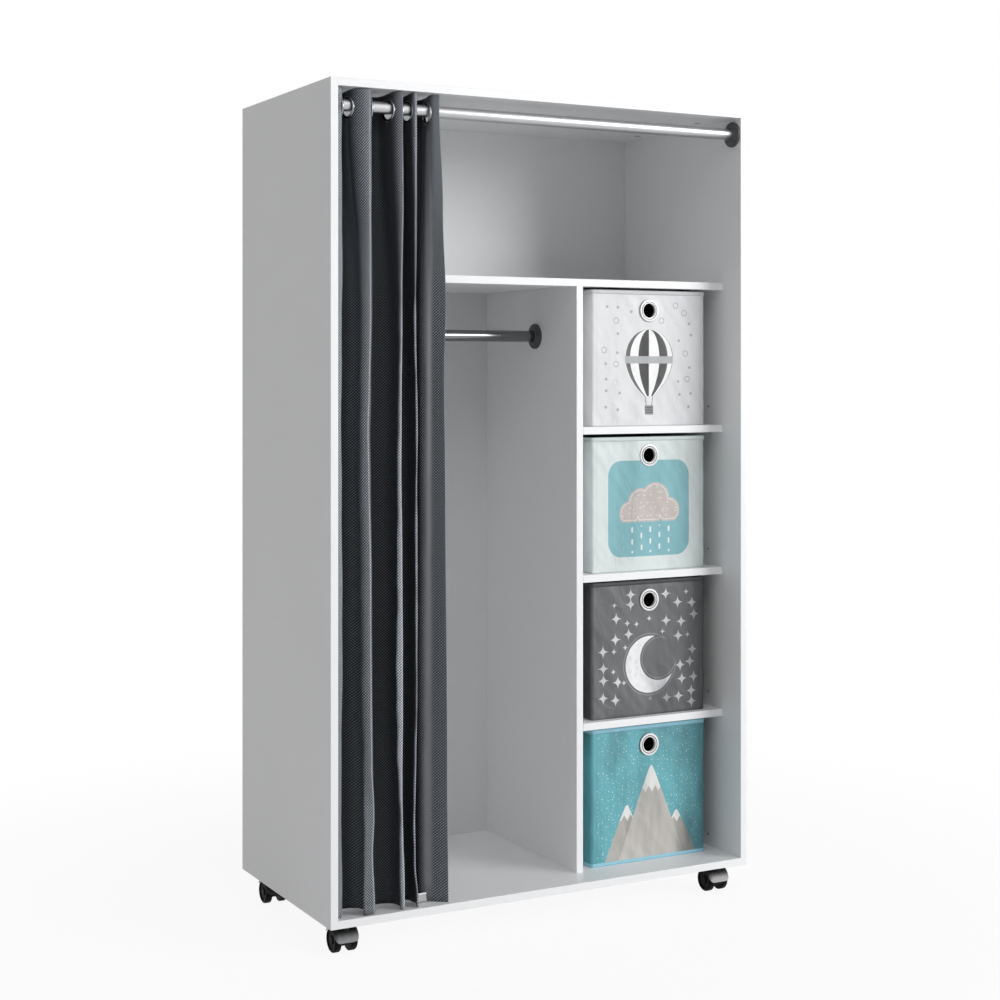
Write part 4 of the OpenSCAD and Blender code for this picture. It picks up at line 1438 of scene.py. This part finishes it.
def tape(name, colour, dark):
    """Woven binding tape with ribs across it."""
    material, at = new_finish(name)
    x, y, _ = at.axes()
    ribs = ((x + y) * (math.pi / (0.55 * MM))).math("SINE") * 0.5 + 0.5
    fuzz = at.noise(900.0, 3.0)
    return finish(material, at, {"Base Color": (ribs * 0.5 + fuzz * 0.5).mix(dark, colour),
                                 "Roughness": 0.55 + fuzz * 0.15,
                                 "Normal": (ribs * 0.6 + fuzz * 0.4).bump(0.12 * MM, 0.7)})


def swept(rim_points, section, centre, level):
    """A closed section of (outward, up), carried round the box and closed on itself."""
    shape = bmesh.new()
    rings = [[shape.verts.new(Vector((centre.x, centre.y, level)) + point + out * across
                              + Vector((0, 0, up))) for across, up in section]
             for point, out, _ in rim_points]
    for i, ring in enumerate(rings):
        following = rings[(i + 1) % len(rings)]
        for k in range(len(section)):
            n = (k + 1) % len(section)
            shape.faces.new((ring[k], following[k], following[n], ring[n])).smooth = True
    bmesh.ops.recalc_face_normals(shape, faces=shape.faces)
    return shape


def binding(number, rim_points, centre, top, material):
    """Tape folded over the rim: down 9 mm outside and inside, round on top."""
    leg, thick, half = 9 * MM, 0.9 * MM, board_wall / 2
    outside = [(half + thick * 0.9, -leg), (half + thick * 1.15, -leg * 0.5),
               (half + thick, -1.6 * MM)]
    over = [(half * math.cos(a) * 1.4, -0.9 * MM + 1.3 * MM * math.sin(a))
            for a in map(math.radians, (20, 50, 90, 130, 160))]
    inside = [(-half - thick, -1.6 * MM), (-half - thick * 1.15, -leg * 0.5),
              (-half - thick * 0.9, -leg)]
    under = [(-half, -leg), (-half, -1.2 * MM), (half, -1.2 * MM), (half, -leg)]
    section = [(across - half, up) for across, up in outside + over + inside + under]
    box = f"box_{number}"
    mesh = joined([swept(rim_points, section, centre, top)], box + "_binding")
    return new_piece(box + "_binding", mesh, box, (), [material])


def ring_plastic(name, centre, height):
    """White plastic, dark grey in the joint of the two halves, and round the rim as painted shade.
    """
    material, at = new_finish(name)
    gloss = at.noise(70.0, 2.0)
    speck = at.noise(2000.0, 2.0)
    x, _, z = at.axes()
    far = (x - centre.x).length_with(z - height)
    joint = abs(far - 19.3 * MM).under(0.9 * MM, 0.3 * MM)
    # Round the rim the plastic darkens: painted shade at the ring's edge.
    rim = 1 - far.under(24.2 * MM, 0.4 * MM)
    dark_joint_and_rim = joint.most(rim * 0.7)
    white = gloss.mix((0.80, 0.80, 0.805), (0.87, 0.87, 0.875))
    return finish(material, at, {"Base Color": dark_joint_and_rim.mix(white, (0.10, 0.105, 0.11)),
                                 "Roughness": 0.20 + gloss * 0.06, "Coat Weight": 0.3,
                                 "Normal": speck.bump(0.01 * MM, 0.3)})


def ring_handle(number, centre, front, bottom):
    """A grommet in two snapped halves: a wide front flange with a groove, and a lip behind."""
    box = f"box_{number}"
    plastic = ring_plastic(box + "_ring_plastic", centre, bottom + ring_height)
    hole, flange, lip = 15.6 * MM, 25 * MM, 22 * MM
    front_t, tube_t, back_t = 2.5 * MM, 2.3 * MM, 1.5 * MM
    groove, back = -front_t + 1.5 * MM, board_wall + back_t
    profile = (arc((hole + 1.3 * MM, -front_t + 1.3 * MM), 1.3 * MM, 180, 270, 5)
               + [(18.5 * MM, -front_t), (18.7 * MM, groove), (19.9 * MM, groove),
                  (20.1 * MM, -front_t + 0.05 * MM)]
               + arc((flange - 1.6 * MM, -front_t + 1.6 * MM), 1.6 * MM, -80, 0, 6)
               + [(flange, -0.1 * MM), (hole + tube_t, -0.1 * MM),
                  (hole + tube_t, board_wall + 0.2 * MM), (lip, board_wall + 0.2 * MM)]
               + arc((lip - 0.7 * MM, back - 0.7 * MM), 0.7 * MM, 0, 90, 3)
               + arc((hole + 0.8 * MM, back - 0.8 * MM), 0.8 * MM, 90, 180, 3))
    shape = turned(profile, (centre.x, front, bottom + ring_height), (0, 1, 0))
    return new_piece(box + "_ring", joined([shape], box + "_ring"), box,
                     [box + "_ring_handle"], [plastic])


# Each box's print, slot, plain cloth, and the dark and light of its tape
box_styles = [
    (balloon_print, "white_box_fabric", (0.80, 0.81, 0.82),
     (0.60, 0.61, 0.625), (0.74, 0.75, 0.765)),
    (cloud_print, "mint_box_fabric", (0.74, 0.82, 0.81),
     (0.58, 0.66, 0.65), (0.72, 0.79, 0.78)),
    (moon_print, "charcoal_box_fabric", (0.030, 0.032, 0.034),
     (0.035, 0.037, 0.039), (0.085, 0.089, 0.093)),
    (mountain_print, "teal_box_fabric", (0.080, 0.35, 0.39),
     (0.21, 0.48, 0.60), (0.35, 0.63, 0.74)),
]
for number, (paint, slot, ground, tape_dark, tape_light) in enumerate(box_styles, 1):
    box = f"box_{number}"
    fabric_low, fabric_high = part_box(box + "_fabric")
    centre = (fabric_low + fabric_high) / 2
    width = fabric_high.x - fabric_low.x - 2 * proud
    depth = fabric_high.y - fabric_low.y - 2 * proud
    slack = 3 * MM if number == 2 else 0
    bottom, top = fabric_low.z, fabric_high.z - slack
    front = fabric_low.y + proud
    cloth = printed_cloth(number, centre, bottom, front, paint, ground)
    mesh = box_wall(number, centre, bottom, top - bottom, width, depth)
    walls = new_piece(box + "_walls", mesh, box, [box + "_fabric"], [cloth, black_felt])
    walled(walls, board_wall, -1, inside=1, rim=1)
    rim_points = perimeter(width, depth, box_radius, 5 * MM)
    edge_tape = tape(box + "_tape", tape_light, tape_dark)
    binding(number, rim_points, centre, top, edge_tape)
    seam_line = [Vector((centre.x, centre.y, 0)) + p + out * (proud + 0.25 * MM)
                 + Vector((0, 0, top - 7.6 * MM)) for p, out, _ in rim_points]
    mesh = grown(box + "_stitches", stitches, line_mesh([seam_line + seam_line[:1]]), {
        "Length": 2.8 * MM, "Gap": 1.3 * MM, "Thickness": 0.6 * MM, "Material": edge_tape})
    new_piece(box + "_stitches", mesh, box)
    if number == 4:
        section = [(-0.6 * MM, 0.3 * MM), (0.7 * MM, 0.1 * MM), (1.1 * MM, 2 * MM),
                   (1.0 * MM, 6.4 * MM), (0.5 * MM, 7.4 * MM), (-0.6 * MM, 7.4 * MM)]
        mesh = joined([swept(rim_points, section, centre, bottom)], box + "_bottom_binding")
        new_piece(box + "_bottom_binding", mesh, box, (), [edge_tape])
    ring_handle(number, centre, front, bottom)
    dress(box + "_base_board", grey_board)


# ---------------------------------------------------------------- floor and light
# A pale studio floor that fades into white, a wide soft lamp in front, a small one above it
# and a weak one behind, and the camera where the photograph was taken from.

def seen_directly(start):
    """1 for the rays that show a thing to the camera, and 0 for those that it lights others by."""
    path = start.node("ShaderNodeLightPath", output="Is Camera Ray")
    return path.most(path.output("Is Glossy Ray")).most(path.output("Is Transmission Ray"))


reach = 30
floor_mesh = bpy.data.meshes.new("studio_floor")
floor_mesh.from_pydata([(-reach, -reach, 0), (reach, -reach, 0), (reach, reach, 0),
                        (-reach, reach, 0)], [], [(0, 1, 2, 3)])
floor = bpy.data.objects.new("studio_floor", floor_mesh)
bpy.context.collection.objects.link(floor)
floor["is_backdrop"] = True
floor_finish, at = new_finish("studio_floor")
x, y, _ = at.axes()
near = x.length_with(y).under(1.3, 0.7)
paper = at.node("ShaderNodeBsdfDiffuse", None, {"Color": (0.88, 0.88, 0.885)})
glow = at.node("ShaderNodeEmission", None, {"Color": (1, 1, 1), "Strength": 1.0})
white_share = seen_directly(at) * (1 - near * 0.09)
blend = at.node("ShaderNodeMixShader", None, {0: white_share, 1: paper, 2: glow})
at.node("ShaderNodeOutputMaterial", None, {"Surface": blend})
floor_mesh.materials.append(floor_finish)

world = bpy.data.worlds.new("studio")
bpy.context.scene.world = world
world.use_nodes = True
world.node_tree.nodes.clear()
sky = Value(world.node_tree)
ambient = 0.285
brightness = seen_directly(sky) * (1 - ambient) + ambient
shown = sky.node("ShaderNodeBackground", None, {"Color": (1, 1, 1), "Strength": brightness})
sky.node("ShaderNodeOutputWorld", None, {"Surface": shown})


def soft_lamp(name, place, target, size, power):
    """A rectangular lamp turned to a target, its size in metres and its power in watts."""
    lamp = bpy.data.lights.new(name, "AREA")
    lamp.shape = "RECTANGLE"
    lamp.size, lamp.size_y = size
    lamp.energy = power
    holder = bpy.data.objects.new(name, lamp)
    bpy.context.collection.objects.link(holder)
    holder.location = place
    holder.rotation_euler = (Vector(target) - Vector(place)).to_track_quat("-Z", "Y").to_euler()


soft_lamp("front_lamp", (9.2, -10.4, 4.1), (0.0, 0.0, 0.9), (7.6, 5.6), 1410)
soft_lamp("upper_lamp", (-1.6, -5.4, 6.4), (0.1, 0.0, 0.4), (3.2, 3.2), 78)
soft_lamp("back_lamp", (1.5, 4.0, 2.4), (0.0, 0.0, 0.9), (5.0, 4.0), 42)

camera_data = bpy.data.cameras.new("camera")
camera = bpy.data.objects.new("camera", camera_data)
bpy.context.collection.objects.link(camera)
bpy.context.scene.camera = camera
camera.location = (-1.8736, -3.4999, 1.1598)
camera.rotation_euler = (math.radians(90), 0, math.radians(-28.30))
camera_data.sensor_width = 36
camera_data.lens = 64.54
camera_data.shift_y = -0.1283
bpy.context.scene.view_settings.view_transform = "Standard"

low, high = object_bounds()
